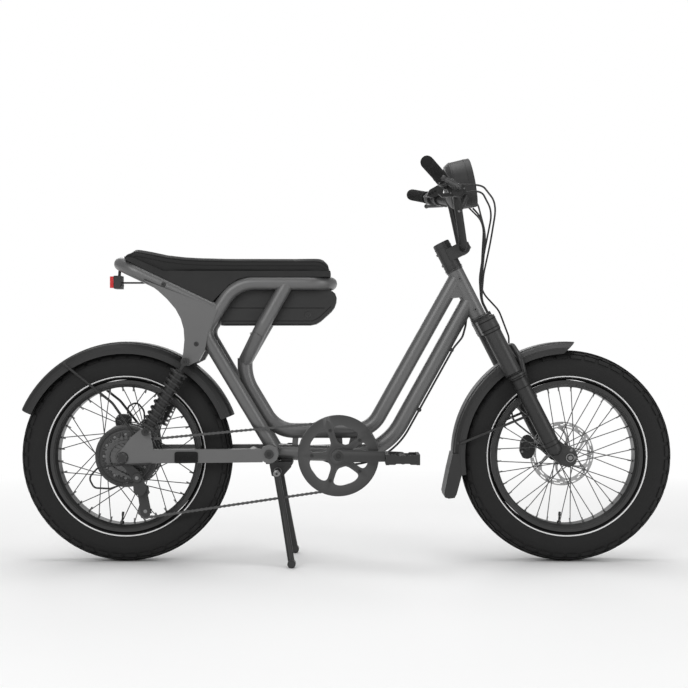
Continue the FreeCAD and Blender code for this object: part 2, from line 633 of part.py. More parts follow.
battery = plate("battery_case", battery_outline, "2 * " + cell("battery_half"))
battery_seat = plate("battery_seat", [(-300, 749), (-60, 749), (-60, RAIL_TOP - 3), (-300, RAIL_TOP - 3)], 60)
battery_solid = fuse("battery_solid", [battery, battery_seat])
node("battery", cut("battery", battery_solid,
                    fuse("battery_tools", [seat_loop, rear_loop, seat_tube_pair, pan])))

# Fenders: section as half width and radius, then the inner wall
FENDER_SECTION = [(1.0, 0), (1.0, 0.5), (0.86, 0.8), (0.6, 0.95), (0.3, 1.0)]


def make_fender(name, centre, first, last):
    """Bent guard over a wheel between two angles, counted from straight ahead, upward."""
    rise = "(%s - %s)" % (cell("fender_radius"), cell("skirt_radius"))
    outer = []
    for width, height in FENDER_SECTION:
        outer.append(("%s + %s * %s" % (cell("skirt_radius"), rise, height), "%s * %s" % (cell("fender_half"), width)))
    inner = []
    for width, height in FENDER_SECTION:
        drop = cell("fender_wall") if height > 0.6 else "0"
        inner.append(("%s + %s * %s - %s" % (cell("skirt_radius"), rise, height, drop),
                      "(%s - %s) * %s" % (cell("fender_half"), cell("fender_wall"), width)))
    ring = outer + [(r, "-1 * (%s)" % y) for r, y in reversed(outer)]
    hollow = inner + [(r, "-1 * (%s)" % y) for r, y in reversed(inner)]
    corners = ring + list(reversed(hollow))
    body = doc.addObject("PartDesign::Body", name)
    sketch = sketch_on(body, "XY_Plane", corners)
    bent = body.newObject("PartDesign::Revolution", name + "_bent")
    bent.Profile = sketch
    bent.ReferenceAxis = (sketch, ["V_Axis"])
    bent.Angle = last - first
    return place(body, centre, FreeCAD.Rotation(V(0, 1, 0), -last))


FENDER_MID = size("fender_radius") - size("fender_wall") / 2
STAY_RADIUS = 3.5


def on_wheel(centre, angle, radius, y):
    turn = math.radians(angle)
    return centre.add(V(radius * math.cos(turn), y, radius * math.sin(turn)))


rear_guard = make_fender("rear_guard", REAR_HUB, 21, 156)
stay_y = size("fender_half")
rear_stay = tube("rear_stay", STAY_RADIUS, [
    on_wheel(REAR_HUB, 123, 300, -stay_y - STAY_RADIUS + 1), V(-640, -stay_y - 8, 440),
    V(-566, -PLATE_IN + STAY_RADIUS - 1, 340),
], [60])
rear_mount = plate("rear_mount", [(-342, 430), (-322, 430), (-300, 470), (-330, 470)], 30)
front_guard = make_fender("front_guard", FRONT_HUB, 86, 190)
# Flap that leaves the wheel's curve below the stay: corners from the front hub
FLAP_SKIN = [(-316, 8), (-326.5, -36), (-339.5, -102), (-337, -112), (-327, -115),
             (-311, -113), (-305, -102), (-289, -42), (-281.5, 8)]
FLAP_HOLLOW = [(-313.4, 9), (-323.9, -36), (-336.7, -102), (-334.9, -110.4), (-327, -112.4),
               (-311, -116), (-300, -102), (-284, -42), (-276, 9)]


def on_front(corners):
    return [(FRONT_X + x, AXLE_Z + z) for x, z in corners]


flap_skin = plate("flap_skin", on_front(FLAP_SKIN), "2 * " + cell("fender_half"))
flap_hollow = plate("flap_hollow", on_front(FLAP_HOLLOW),
                    "2 * %s - 2 * %s" % (cell("fender_half"), cell("fender_wall")))
front_flap = cut("front_flap", flap_skin, flap_hollow)
front_stay = rod("front_stay", STAY_RADIUS, on_wheel(FRONT_HUB, 173, 297, -stay_y - STAY_RADIUS + 1),
                 steer(size("leg_ahead"), -(size("leg_half") - 14), 150))

# Fork: crown with steerer, legs with dropouts, axle
crown_low, crown_high = size("crown_low"), size("crown_high")
leg_x, leg_y = size("leg_ahead"), size("leg_half")
COVER_X = leg_x - 5.5
COVER_LOW = size("seal_height") + 6
crown_block = box("crown_block", V(0, 0, 0), V(50, 2 * leg_y, crown_high))
steered(crown_block, leg_x - 30, -leg_y, crown_low)
crown_ends = []
for side in (-1, 1):
    end = rod("crown_end_%d" % (side + 1), "%s + 2" % cell("cover_radius"), V(0, 0, 0), V(0, 0, crown_high))
    crown_ends.append(steered(end, COVER_X, side * leg_y, crown_low))
steerer = rod("steerer", cell("steerer_radius"), V(0, 0, 0), V(0, 0, HEAD_TOP + 40 - crown_low))
steered(steerer, 0, 0, crown_low)
race = rod("race", cell("head_radius"), V(0, 0, 0), V(0, 0, HEAD_LOW - 0.3 - crown_low))
steered(race, 0, 0, crown_low)
guard_hanger = box("guard_hanger", V(0, 0, 0), V(8, 40, 90))
steered(guard_hanger, 28, -20, crown_low - 89)
GUIDE_TOP = 452
GUIDE_IN = 490
cable_guide = box("cable_guide", V(0, 0, 0), V(9, 34, GUIDE_TOP - crown_low - crown_high + 4))
steered(cable_guide, 28.5, 6, crown_low + crown_high - 4)
crown_fused = fuse("crown_fused", [crown_block, steerer, race, guard_hanger, cable_guide] + crown_ends)
stanchions, lowers = [], []
AXLE_PLATE = 9
LEG_END = 42
# The leg's foot, which bends forward to the axle: steering frame, ahead and up.
LUG_OUTLINE = [
    (-7, 62), (-5, 30), (8, -5), (25, -22), (45, -22), (60, -8), (60, 12), (52, 24), (42, 34), (33, 62),
]
for side in (-1, 1):
    tag = "right" if side < 0 else "left"
    upper = rod("stanchion_" + tag, cell("stanchion_radius"), V(0, 0, 0), V(0, 0, crown_low + crown_high - 200))
    steered(upper, leg_x, side * leg_y, 200)
    cover = rod("cover_" + tag, cell("cover_radius"), V(0, 0, 0), V(0, 0, crown_low - COVER_LOW))
    steered(cover, COVER_X, side * leg_y, COVER_LOW)
    stanchions.append(fuse("upper_leg_" + tag, [upper, cover]))
    lower = rod("lower_" + tag, cell("leg_radius"), V(0, 0, 0), V(0, 0, size("seal_height") - LEG_END))
    steered(lower, leg_x, side * leg_y, LEG_END)
    lower_end = doc.addObject("Part::Sphere", "lower_end_" + tag)
    bind(lower_end, "Radius", cell("leg_radius"))
    steered(lower_end, leg_x, side * leg_y, LEG_END)
    seal = rod("seal_" + tag, "%s + 2.5" % cell("leg_radius"), V(0, 0, 0), V(0, 0, 12))
    steered(seal, leg_x, side * leg_y, size("seal_height") - 8)
    lug = steered(plate("lug_" + tag, LUG_OUTLINE, 2 * AXLE_PLATE), 0, side * leg_y, 0)
    eye = rod("axle_eye_" + tag, 17, V(0, -AXLE_PLATE, 0), V(0, AXLE_PLATE, 0))
    place(eye, V(FRONT_X, side * leg_y - AXLE_PLATE, AXLE_Z), FreeCAD.Rotation(V(0, 0, 1), V(0, 1, 0)))
    lowers.append(fuse("leg_" + tag, [lower, lower_end, seal, lug, eye]))
ARCH_RADIUS = 9
ARCH_TOP = 338
ARCH_X = 43
arch = tube("arch", ARCH_RADIUS, [
    steer(leg_x + 14, -leg_y, 240), steer(ARCH_X, -leg_y + 6, 300), steer(ARCH_X, -42, ARCH_TOP),
    steer(ARCH_X, 42, ARCH_TOP), steer(ARCH_X, leg_y - 6, 300), steer(leg_x + 14, leg_y, 240),
], [30, 22, 22, 30])
axle_length = 2 * leg_y + 2 * AXLE_PLATE + 8
front_axle = cross_rod("front_axle_bar", cell("front_axle"), FRONT_X, AXLE_Z, -axle_length / 2, axle_length / 2)
front_nut = cross_rod("front_nut", 12, FRONT_X, AXLE_Z, -axle_length / 2 + 1, -axle_length / 2 + 4)
front_spacer = cross_rod("front_spacer", 11, FRONT_X, AXLE_Z, -leg_y + AXLE_PLATE, -HUB_END - 0.3)
front_axle_fused = fuse("front_axle", [
    front_axle, front_nut, mirror("front_nut_left", front_nut), front_spacer, mirror("front_spacer_left", front_spacer),
])
node("front_axle", front_axle_fused)
lowers_fused = fuse("lowers_fused", lowers + [arch])
fork_tools = fuse("fork_tools", [front_axle_fused] + stanchions)
node("fork_lowers", cut("fork_lowers", lowers_fused, fork_tools))
node("fork_stanchions", group("fork_stanchions", stanchions))
node("fork_crown", cut("fork_crown", crown_fused, fuse("crown_tools", stanchions + [arch])))
front_fender_fused = fuse("front_fender_fused", [front_guard, front_flap, front_stay, mirror("front_stay_left", front_stay)])
# The front end is cut off at a slant.
tip_cut = plate("tip_cut", [(629.6, 607), (595, 573.5), (595, 560), (660, 560), (660, 607)], 160)
node("front_fender", cut("front_fender", front_fender_fused,
                         fuse("fender_tools", [crown_fused, lowers_fused, tip_cut])))
rear_fender_fused = fuse("rear_fender_fused", [rear_guard, rear_stay, mirror("rear_stay_left", rear_stay)])
node("rear_fender", cut("rear_fender", rear_fender_fused, arm_fused))

# Stem and handlebar
CLAMP_X, CLAMP_UP = 47.7, 641.4
STEM_TOP = 680
sleeve = rod("sleeve", 24, V(0, 0, 0), V(0, 0, STEM_TOP - HEAD_TOP - 0.3))
steered(sleeve, z=HEAD_TOP + 0.3)
clamp_block = box("clamp_block", V(0, 0, 0), V(CLAMP_X, 52, 36))
steered(clamp_block, 0, -26, CLAMP_UP - 18)
CLAMP = steer(CLAMP_X, 0, CLAMP_UP)
clamp_round = cross_rod("clamp_round", 19, CLAMP.x, CLAMP.z, -26, 26)
RISER_TOP = V(298, 90, 1006)
BAR_END = V(200, size("bar_half"), 1058)
bar = tube("bar", cell("bar_radius"), [
    V(BAR_END.x, -BAR_END.y, BAR_END.z), beside(RISER_TOP, -RISER_TOP.y), beside(CLAMP, -40),
    beside(CLAMP, 40), RISER_TOP, BAR_END,
], [45, 13, 13, 45])

stem_fused = fuse("stem_fused", [sleeve, clamp_block, clamp_round])
node("stem", cut("stem", stem_fused, fuse("stem_tools", [bar, steerer])))
node("handlebar", bar)
BAR_OUT = BAR_END.sub(RISER_TOP).normalize()


def on_bar(from_end):
    """Point on the left bar end, measured in from its tip."""
    return BAR_END.sub(BAR_OUT * from_end)


grip = rod("grip", cell("grip_radius"), on_bar(size("grip_long")), on_bar(0))
grip_cut = cut("grip_left", grip, bar)
node("grips", group("grips", [grip_cut, mirror("grip_right", grip_cut)]))
perch_at = size("grip_long") + 26
perch = rod("perch", 17, on_bar(perch_at + 11), on_bar(perch_at - 11))
perch_low = V(30, 0, -14)
perch_arm = rod("perch_arm", 8, on_bar(perch_at), on_bar(perch_at).add(perch_low))
lever_root = on_bar(perch_at).add(perch_low)
lever = tube("lever", 5, [lever_root, lever_root.add(BAR_OUT * 30).add(V(16, 0, -10)),
                          lever_root.add(BAR_OUT * 128).add(V(4, 0, -20))], [22])
control = fuse("control", [perch, perch_arm, lever])
control_cut = cut("control_left", control, bar)
node("brake_levers", group("brake_levers", [control_cut, mirror("control_right", control_cut)]))


def lever_start(side):
    """Where a brake hose leaves its lever."""
    spot = lever_root.add(V(4, -2, 0))
    return V(spot.x, side * spot.y, spot.z)


# Control pods: a display and buttons on the left, the shifter on the right
POD_AT = 203
pod_ring = rod("pod_ring", 15, on_bar(POD_AT + 14), on_bar(POD_AT - 14))
pod_spot = on_bar(POD_AT)
display_case = plate("display_case", [
    (pod_spot.x - 32, pod_spot.z + 8), (pod_spot.x - 14, pod_spot.z + 3), (pod_spot.x + 14, pod_spot.z + 12),
    (pod_spot.x + 18, pod_spot.z + 34), (pod_spot.x + 6, pod_spot.z + 42), (pod_spot.x - 26, pod_spot.z + 24),
], 44, pod_spot.y)
left_pod = cut("left_pod", fuse("left_pod_fused", [pod_ring, display_case]), bar)
shifter_case = plate("shifter_case", [
    (pod_spot.x - 8, pod_spot.z - 6), (pod_spot.x + 10, pod_spot.z - 30), (pod_spot.x + 38, pod_spot.z - 34),
    (pod_spot.x + 50, pod_spot.z - 20), (pod_spot.x + 42, pod_spot.z - 2), (pod_spot.x + 12, pod_spot.z + 8),
], 32, -pod_spot.y)
shifter_lever = plate("shifter_lever", [
    (pod_spot.x - 24, pod_spot.z - 26), (pod_spot.x - 14, pod_spot.z - 34), (pod_spot.x + 16, pod_spot.z - 32),
    (pod_spot.x + 16, pod_spot.z - 22),
], 12, -pod_spot.y - 6)
right_pod = cut("right_pod", fuse("right_pod_fused", [mirror("pod_ring_right", pod_ring), shifter_case, shifter_lever]), bar)
node("bar_controls", group("bar_controls", [left_pod, right_pod]))

# Headlight in front of the handlebar, tilted up a little
LAMP_CENTRE = V(350, 0, 1050)
LAMP_TILT = 11
lamp_axis = V(math.cos(math.radians(LAMP_TILT)), 0, math.sin(math.radians(LAMP_TILT)))
LAMP_TURN = FreeCAD.Rotation(V(0, 1, 0), lamp_axis)
lamp_edge = cell("lamp_radius")
lens_edge = "%s - 7" % cell("lamp_radius")
lamp_shell = lathe("lamp_shell", [
    (0, -80), (40, -78), (58, -70), ("%s - 2" % lamp_edge, -58), (lamp_edge, -14), (lamp_edge, 0),
    (lens_edge, 0), (lens_edge, -5), (0, -5),
], LAMP_CENTRE, LAMP_TURN)
lamp_arm = tube("lamp_arm", 6, [V(306, -86, 962), V(322, -70, 985), V(332, -52, 1012)], [20])
lamp_fused = fuse("lamp_fused", [lamp_shell, lamp_arm, mirror("lamp_arm_left", lamp_arm)])
node("headlight_body", cut("headlight_body", lamp_fused, bar))
node("headlight_lens", lathe("headlight_lens", [
    (0, -4.7), ("%s - 0.3" % lens_edge, -4.7), ("%s - 0.3" % lens_edge, 0), (44, 4), (0, 6),
], LAMP_CENTRE, LAMP_TURN))

# Tail light on a stem below the rear loop's end
TAIL_X, TAIL_LOW, TAIL_HIGH = -654, 754, 790
TAIL_LENS = 12
tail_case = box("tail_case", V(TAIL_X + TAIL_LENS, -27, TAIL_LOW), V(TAIL_X + 30, 27, TAIL_HIGH))
tail_stem = tube("tail_stem", 4, [V(TAIL_X + 22, 0, TAIL_HIGH - 2), V(TAIL_X + 24, 0, 812)])
tail_fused = fuse("tail_fused", [tail_case, tail_stem])
node("taillight_body", cut("taillight_body", tail_fused, rear_loop))
node("taillight_lens", box("taillight_lens", V(TAIL_X, -25, TAIL_LOW + 2), V(TAIL_X + TAIL_LENS, 25, TAIL_HIGH - 2)))

# Cranks: the right arm points straight forward at rest
ARM_THICK = 13
ARM_BIG, ARM_SMALL = 18, 12.5
crank_long = size("crank_length")
crank_lean = math.degrees(math.atan2(size("crank_out") - size("crank_low"), crank_long))
PEDAL_SPOT = V(BRACKET.x + crank_long, 0, BRACKET.z)
AXLE_SHAFT = 7.5
arm_blade = plate("arm_blade", [
    (0, -ARM_BIG), (crank_long, -ARM_SMALL), (crank_long, ARM_SMALL), (0, ARM_BIG),
], ARM_THICK)
place(arm_blade, V(BRACKET.x, -size("crank_low"), BRACKET.z), FreeCAD.Rotation(V(0, 0, 1), -crank_lean))
arm_hub = cross_rod("arm_hub", ARM_BIG, BRACKET.x, BRACKET.z, -size("crank_low") - 8, -size("crank_low") + 8)
arm_tip = cross_rod("arm_tip", ARM_SMALL, PEDAL_SPOT.x, PEDAL_SPOT.z,
                    -size("crank_out") - ARM_THICK / 2, -size("crank_out") + ARM_THICK / 2)
pedal_shaft = cross_rod("pedal_shaft", AXLE_SHAFT, PEDAL_SPOT.x, PEDAL_SPOT.z,
                        -size("pedal_in") - size("pedal_wide") + 8, -size("crank_out"))
crank_right = fuse("crank_right", [arm_blade, arm_hub, arm_tip, pedal_shaft])
crank_left = doc.addObject("Part::Feature", "crank_left")
doc.recompute()
crank_left.Shape = crank_right.Shape.rotated(BRACKET, V(0, 0, 1), 180)
spindle = cross_rod("spindle", SPINDLE_RADIUS, BRACKET.x, BRACKET.z, -size("crank_low"), size("crank_low"))
node("crank_arms", fuse("crank_arms", [crank_right, crank_left, spindle]))

# Chainring with its guard
CHAIN_Y = size("chain_half")
LINK_HALF = 4
RING_EDGE = size("ring_radius") - LINK_HALF - 1
GUARD_IN, GUARD_OUT = CHAIN_Y + 8.5, CHAIN_Y + 11.5
guard_outer = cell("guard_radius")
GUARD_WINDOW = 0.74
window_edge = "%s * %s" % (guard_outer, GUARD_WINDOW)
guard_band = lathe("guard_band", [
    (window_edge, -GUARD_OUT), (guard_outer, -GUARD_OUT), (guard_outer, -GUARD_IN),
    (RING_EDGE, -GUARD_IN), (RING_EDGE, -CHAIN_Y + 1.5), (window_edge, -CHAIN_Y + 1.5),
], BRACKET)
guard_middle = lathe("guard_middle", [
    (SPINDLE_RADIUS, -GUARD_OUT), (30, -GUARD_OUT), (30, -CHAIN_Y), (SPINDLE_RADIUS, -CHAIN_Y),
], BRACKET)
GUARD_ARMS = 5
GUARD_ARM_WIDE = 17
GUARD_ARM_FIRST = 36
guard_pieces = [guard_band, guard_middle]
for k in range(GUARD_ARMS):
    arm = box("guard_arm_%d" % k, V(0, 0, 0),
              V(GUARD_WINDOW * size("guard_radius") - 22, GUARD_OUT - CHAIN_Y, GUARD_ARM_WIDE))
    turn = FreeCAD.Rotation(V(0, 1, 0), 360.0 * k / GUARD_ARMS + GUARD_ARM_FIRST)
    place(arm, V(BRACKET.x, -GUARD_OUT, BRACKET.z).add(turn.multVec(V(25, 0, -GUARD_ARM_WIDE / 2))), turn)
    guard_pieces.append(arm)
node("chainring", cut("chainring", fuse("guard_fused", guard_pieces), fuse("guard_tools", [spindle, crank_right])))


# Pedals
def make_pedal(name, centre, side):
    half_long, half_high = size("pedal_long") / 2, size("pedal_high") / 2
    near, far = size("pedal_in"), size("pedal_in") + size("pedal_wide")
    block = plate(name + "_block", [
        (-half_long, -half_high + 8), (-half_long + 8, -half_high), (half_long - 8, -half_high),
        (half_long, -half_high + 8), (half_long, half_high - 8), (half_long - 8, half_high),
        (-half_long + 8, half_high), (-half_long, half_high - 8),
    ], cell("pedal_wide"))
    place(block, V(centre.x, side * (near + far) / 2, centre.z))
    bore = cross_rod(name + "_bore", AXLE_SHAFT + size("run_gap"), centre.x, centre.z, side * (near - 5), side * (far - 5))
    return cut(name, block, bore)


LEFT_PEDAL = V(BRACKET.x - crank_long, 0, BRACKET.z)
node("pedal_right", make_pedal("pedal_right", PEDAL_SPOT, -1))
node("pedal_left", make_pedal("pedal_left", LEFT_PEDAL, 1))

# Chain: one closed band round the chainring, a sprocket and the two derailleur pulleys
CHAIN_COG = 4
COG_MID = size("freewheel_radius") - (SPROCKET_RADII[0] - SPROCKET_RADII[int(CHAIN_COG)]) + 1 + LINK_HALF
GUIDE = V(-559, 0, 199)
TENSION = V(-548, 0, 145)
PULLEY_MID = 18


def belt(wheels):
    """Closed path round wheels: centre, radius, 1 for a turn one way or -1 for the other."""
    spots = []
    for (a, ra, sa), (b, rb, sb) in zip(wheels, wheels[1:] + wheels[:1]):
        gap = b.sub(a)
        heading = math.atan2(gap.z, gap.x) - math.asin((rb * sb - ra * sa) / gap.Length)
        left = V(-math.sin(heading), 0, math.cos(heading))
        spots.append((a.sub(left * (ra * sa)), b.sub(left * (rb * sb))))
    edges = []
    for i, (centre, radius, sense) in enumerate(wheels):
        arrive, leave = spots[i - 1][1], spots[i][0]
        first = math.atan2(arrive.z - centre.z, arrive.x - centre.x)
        last = math.atan2(leave.z - centre.z, leave.x - centre.x)
        while (last - first) * sense < 0:
            last += sense * 2 * math.pi
        halfway = (first + last) / 2
        middle = centre.add(V(radius * math.cos(halfway), 0, radius * math.sin(halfway)))
        edges.append(Part.Arc(arrive, middle, leave).toShape())
        edges.append(Part.LineSegment(leave, spots[i][1]).toShape())
    return Part.Wire(edges)


chain_path = belt([
    (BRACKET, size("ring_radius"), 1), (REAR_HUB, COG_MID, 1), (GUIDE, PULLEY_MID, -1), (TENSION, PULLEY_MID, 1),
])
outer_face = Part.Face(chain_path.makeOffset2D(LINK_HALF))
inner_face = Part.Face(chain_path.makeOffset2D(-LINK_HALF))
wide, narrow = (outer_face, inner_face) if outer_face.Area > inner_face.Area else (inner_face, outer_face)
chain = doc.addObject("Part::Feature", "chain")
chain.Shape = wide.cut(narrow).Faces[0].extrude(V(0, size("chain_width"), 0))
place(chain, V(0, -CHAIN_Y - size("chain_width") / 2, 0))
node("chain", chain)

# Derailleur: hanger, knuckle, cage and pulleys
CAGE_WALL = 2
PULLEY_EDGE = PULLEY_MID - LINK_HALF - 0.5
hanger = plate("hanger", [(-618, 280), (-592, 280), (-556, 250), (-560, 226), (-578, 226), (-600, 262)], 6,
               -(PLATE_IN + 3.5))
knuckle = cross_rod("knuckle", 12, -568, 238, -size("arm_out") - 6, -80)
link_arm = plate("link_arm", [(-580, 246), (-560, 250), (-545, 205), (-560, 190), (-574, 196)], 12, -84)
cage_outline = [(-571, 206), (-564, 212), (-553, 211), (-546, 203), (-534, 142), (-539, 131), (-549, 128), (-560, 135)]
cage_out = plate("cage_out", cage_outline, CAGE_WALL, -CHAIN_Y - 7)
cage_in = plate("cage_in", cage_outline, CAGE_WALL, -CHAIN_Y + 7)
pulleys = []
for k, spot in enumerate((GUIDE, TENSION)):
    pulleys.append(cross_rod("pulley_%d" % k, PULLEY_EDGE, spot.x, spot.z, -CHAIN_Y - 2, -CHAIN_Y + 2))
    pulleys.append(cross_rod("pulley_pin_%d" % k, 4, spot.x, spot.z, -CHAIN_Y - 8, -CHAIN_Y + 8))
link_pin = cross_rod("link_pin", 6, GUIDE.x, GUIDE.z, -84, -CHAIN_Y - 6)
derailleur_fused = fuse("derailleur_fused", [hanger, knuckle, link_arm, cage_out, cage_in, link_pin] + pulleys)
node("derailleur", cut("derailleur", derailleur_fused, fuse("derailleur_tools", [arm_fused, axle_bar, nut])))


# Brake calipers, open where the disc runs
def make_caliper(name, centre, low, high, bracket, tool):
    block = box(name + "_block", low, high)
    mount = box(name + "_mount", bracket[0], bracket[1])
    slot_gap = 2.5
    slot = lathe(name + "_slot", [
        (0, ROTOR_Y - slot_gap), ("%s + 4" % cell("rotor_radius"), ROTOR_Y - slot_gap),
        ("%s + 4" % cell("rotor_radius"), ROTOR_Y + size("rotor_wall") + slot_gap),
        (0, ROTOR_Y + size("rotor_wall") + slot_gap),
    ], centre)
    return cut(name, fuse(name + "_fused", [block, mount]), fuse(name + "_tools", [slot, tool]))


node("rear_caliper", make_caliper(
    "rear_caliper", REAR_HUB, V(-652, 43, 362), V(-606, 66, 404), (V(-628, 60, 320), V(-594, PLATE_IN - 0.2, 366)),
    arm_fused))
node("front_caliper", make_caliper(
    "front_caliper", FRONT_HUB, V(486, 43, 276), V(532, 62, 346), (V(500, 58, 312), V(556, 66, 334)),
    lowers_fused))

# Centre stand: bracket under the lower spine, cross tube and two legs
stand_radius = size("stand_tube")
LEG_TOP_Y = 87
lean = math.radians(size("stand_lean"))
leg_reach = (size("stand_z") - size("foot_radius")) / math.cos(lean)


def down_leg(distance, y):
    return STAND.add(V(distance * math.sin(lean), y, -distance * math.cos(lean)))


cross_bar = cross_rod("cross_bar", cell("stand_tube"), STAND.x, STAND.z, -LEG_TOP_Y, LEG_TOP_Y)
leg = tube("stand_leg", cell("stand_tube"), [
    down_leg(0, -LEG_TOP_Y), down_leg(105, -LEG_TOP_Y - 3), down_leg(leg_reach, -size("foot_half")),
], [60])
leg_knob = doc.addObject("Part::Sphere", "leg_knob")
bind(leg_knob, "Radius", cell("stand_tube"))
place(leg_knob, down_leg(0, -LEG_TOP_Y))
foot_spot = down_leg(leg_reach, 0)
foot = cross_rod("foot", cell("foot_radius"), foot_spot.x, foot_spot.z, -size("foot_half") - 12, -size("foot_half") + 12)
right_leg = fuse("right_leg", [leg, leg_knob, foot])
node("centre_stand", fuse("centre_stand", [cross_bar, right_leg, mirror("left_leg", right_leg)]))
EAR_Y = 34
ear_outline = [
    (-212, 268), (-206, 238), (-196, 234), (-182, 234), (-172, 240), (-152, 262), (-152, 276), (-212, 276),
]
ear = plate("ear", ear_outline, 7, -EAR_Y)
top_plate = box("top_plate", V(-222, -EAR_Y - 3, 270), V(-148, EAR_Y + 3, 276))
stand_space = cross_rod("stand_space", "%s + %s" % (cell("stand_tube"), cell("run_gap")), STAND.x, STAND.z, -60, 60)
bracket_post = box("bracket_post", V(-182, -12, 272), V(-150, 12, 290))
bracket_fused = fuse("bracket_fused", [ear, mirror("ear_left", ear), top_plate, bracket_post])
bracket_tools = fuse("bracket_tools", [stand_space, lower_tube, pivot_tube])
node("stand_bracket", cut("stand_bracket", bracket_fused, bracket_tools))

# Hoses and cables that turn with the steering, made along their real routes
HOSE = cell("hose_radius")
lamp_wire = tube("lamp_wire", HOSE, [
    V(352, 6, 980), V(384, 5, 946), V(382, 20, 850), V(373, 26, 785), steer(31, 26, GUIDE_IN),
    steer(31, 26, GUIDE_TOP),
], [80, 150, 120, 70])
shift_cable = tube("shift_cable", HOSE, [
    V(pod_spot.x + 46, -pod_spot.y, pod_spot.z - 22), V(356, -178, 1010), V(396, -92, 960), V(386, -6, 870),
    V(374, 14, 795), steer(31, 18, GUIDE_IN), steer(31, 18, GUIDE_TOP),
], [40, 140, 140, 140, 60])
rear_hose = tube("rear_hose", HOSE, [
    lever_start(-1), V(356, -214, 1018), V(406, -112, 980), V(398, -16, 876), V(382, 4, 795),
    steer(31, 10, GUIDE_IN), steer(31, 10, GUIDE_TOP),
], [40, 140, 140, 140, 60])
throttle_wire = tube("throttle_wire", HOSE, [
    V(pod_spot.x + 16, pod_spot.y - 12, pod_spot.z + 14), V(322, 168, 1056), V(376, 118, 1010), V(394, 56, 910),
    V(382, 36, 800), steer(31, 34, GUIDE_IN), steer(31, 34, GUIDE_TOP),
], [20, 80, 140, 140, 60])
front_hose = tube("front_hose", HOSE, [
    lever_start(1), V(352, 208, 1010), V(396, 124, 950), V(384, 66, 840), V(380, 52, 750), steer(66, 56, 440),
    steer(60, 80, 360), steer(30, 116, 290), steer(-10, 116, 220), steer(-36, 90, 140), steer(-13, 53, 86),
], [40, 120, 150, 60, 60, 40, 50, 60, 40])
steering_ends = fuse("steering_ends", [nodes[label] for label in (
    "fork_crown", "front_caliper", "headlight_body", "bar_controls", "brake_levers")])
node("steering_cables", cut("steering_cables", group("steering_bundle", [
    lamp_wire, shift_cable, rear_hose, throttle_wire, front_hose]), steering_ends))

# Cables along the lower spine, the shift cable's loop, the rear brake hose and the tail light's wire
SPINE_CABLE_Y = 4.5


def spine_cable(name, y):
    return tube(name, HOSE, [
        V(333.5, y, 668.5), V(331.5, y, 651), V(323, y, 620), V(299, y, 591), V(118.3, y, 265.5),
        V(-30, y, 265.5), V(-64, y, 278),
    ], [40, 40, 60, 190, 30])


shift_loop = tube("shift_loop", HOSE, [
    V(-528, -97, 276), V(-630, -98, 272), V(-674, -98, 266), V(-698, -98, 238), V(-684, -98, 211),
    V(-640, -98, 209), V(-571, -96, 233),
], [50, 24, 16, 16, 22])
brake_loop = tube("brake_loop", HOSE, [
    V(-618, 56, 400), V(-617, 57, 424), V(-594, 66, 438), V(-575, 80, 412), V(-574, 90, 352),
], [12, 18, 30])
tail_wire = tube("tail_wire", HOSE, [V(TAIL_X + 26, 0, 771), V(-560, 0, 771), V(-500, 0, 786)], [60])
frame_ends = fuse("frame_ends", [nodes[label] for label in (
    "lower_spine", "head_tube", "swingarm", "derailleur", "rear_caliper", "taillight_body", "seat_pan")])
node("frame_cables", cut("frame_cables", group("frame_bundle", [
    spine_cable("spine_cable_right", -SPINE_CABLE_Y), spine_cable("spine_cable_left", SPINE_CABLE_Y),
    shift_loop, brake_loop, tail_wire]), frame_ends))

doc.recompute()

for item in doc.Objects:
    if "Invalid" in item.State or "Error" in item.State:
        raise RuntimeError("failed: " + item.Name)
for label, item in nodes.items():
    shape = item.Shape
    if shape.isNull() or not shape.isValid() or not shape.Solids:
        raise RuntimeError("bad shape: " + label)

os.makedirs("parts", exist_ok=True)
for label, item in nodes.items():
    item.Shape.exportStep(os.path.join("parts", label + ".step"))
    print("%-18s %2d solids %9.1f cm3" % (label, len(item.Shape.Solids), item.Shape.Volume / 1000))
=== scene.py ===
import math
import json

import bpy
import bmesh
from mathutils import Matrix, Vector
from mathutils.bvhtree import BVHTree


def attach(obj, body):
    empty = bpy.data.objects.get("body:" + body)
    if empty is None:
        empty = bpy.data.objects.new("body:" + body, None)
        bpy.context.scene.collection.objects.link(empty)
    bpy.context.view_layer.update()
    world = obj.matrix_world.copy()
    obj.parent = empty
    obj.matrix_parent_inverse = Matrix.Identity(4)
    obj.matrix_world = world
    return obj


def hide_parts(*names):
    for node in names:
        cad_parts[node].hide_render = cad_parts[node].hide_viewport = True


# Electric bike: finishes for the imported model, and the fine pieces that it leaves out.
# Metres, +X forward, +Y to the rider's left, +Z up.
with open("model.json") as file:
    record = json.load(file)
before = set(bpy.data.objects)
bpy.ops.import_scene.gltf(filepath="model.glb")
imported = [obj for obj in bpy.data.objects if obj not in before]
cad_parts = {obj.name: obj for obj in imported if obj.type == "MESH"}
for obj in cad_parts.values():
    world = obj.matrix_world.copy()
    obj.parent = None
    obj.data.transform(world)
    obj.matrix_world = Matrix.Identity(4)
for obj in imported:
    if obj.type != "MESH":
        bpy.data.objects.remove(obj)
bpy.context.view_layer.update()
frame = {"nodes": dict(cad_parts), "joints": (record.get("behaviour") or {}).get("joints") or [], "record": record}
NODES = frame["nodes"]
RECORD = frame["record"]
JOINTS = {joint["name"]: joint for joint in frame["joints"]}

# Places read from the frame
FRONT = Vector(JOINTS["front_wheel_spin"]["pos_m"])
REAR = Vector(JOINTS["rear_wheel_spin"]["pos_m"])
BRACKET = Vector(JOINTS["crank_spin"]["pos_m"])
HEAD_UP = Vector(JOINTS["steering_turn"]["axis"]).normalized()
HEAD_FORE = Vector((HEAD_UP.z, 0, -HEAD_UP.x))
ACROSS = Vector((0, 1, 0))


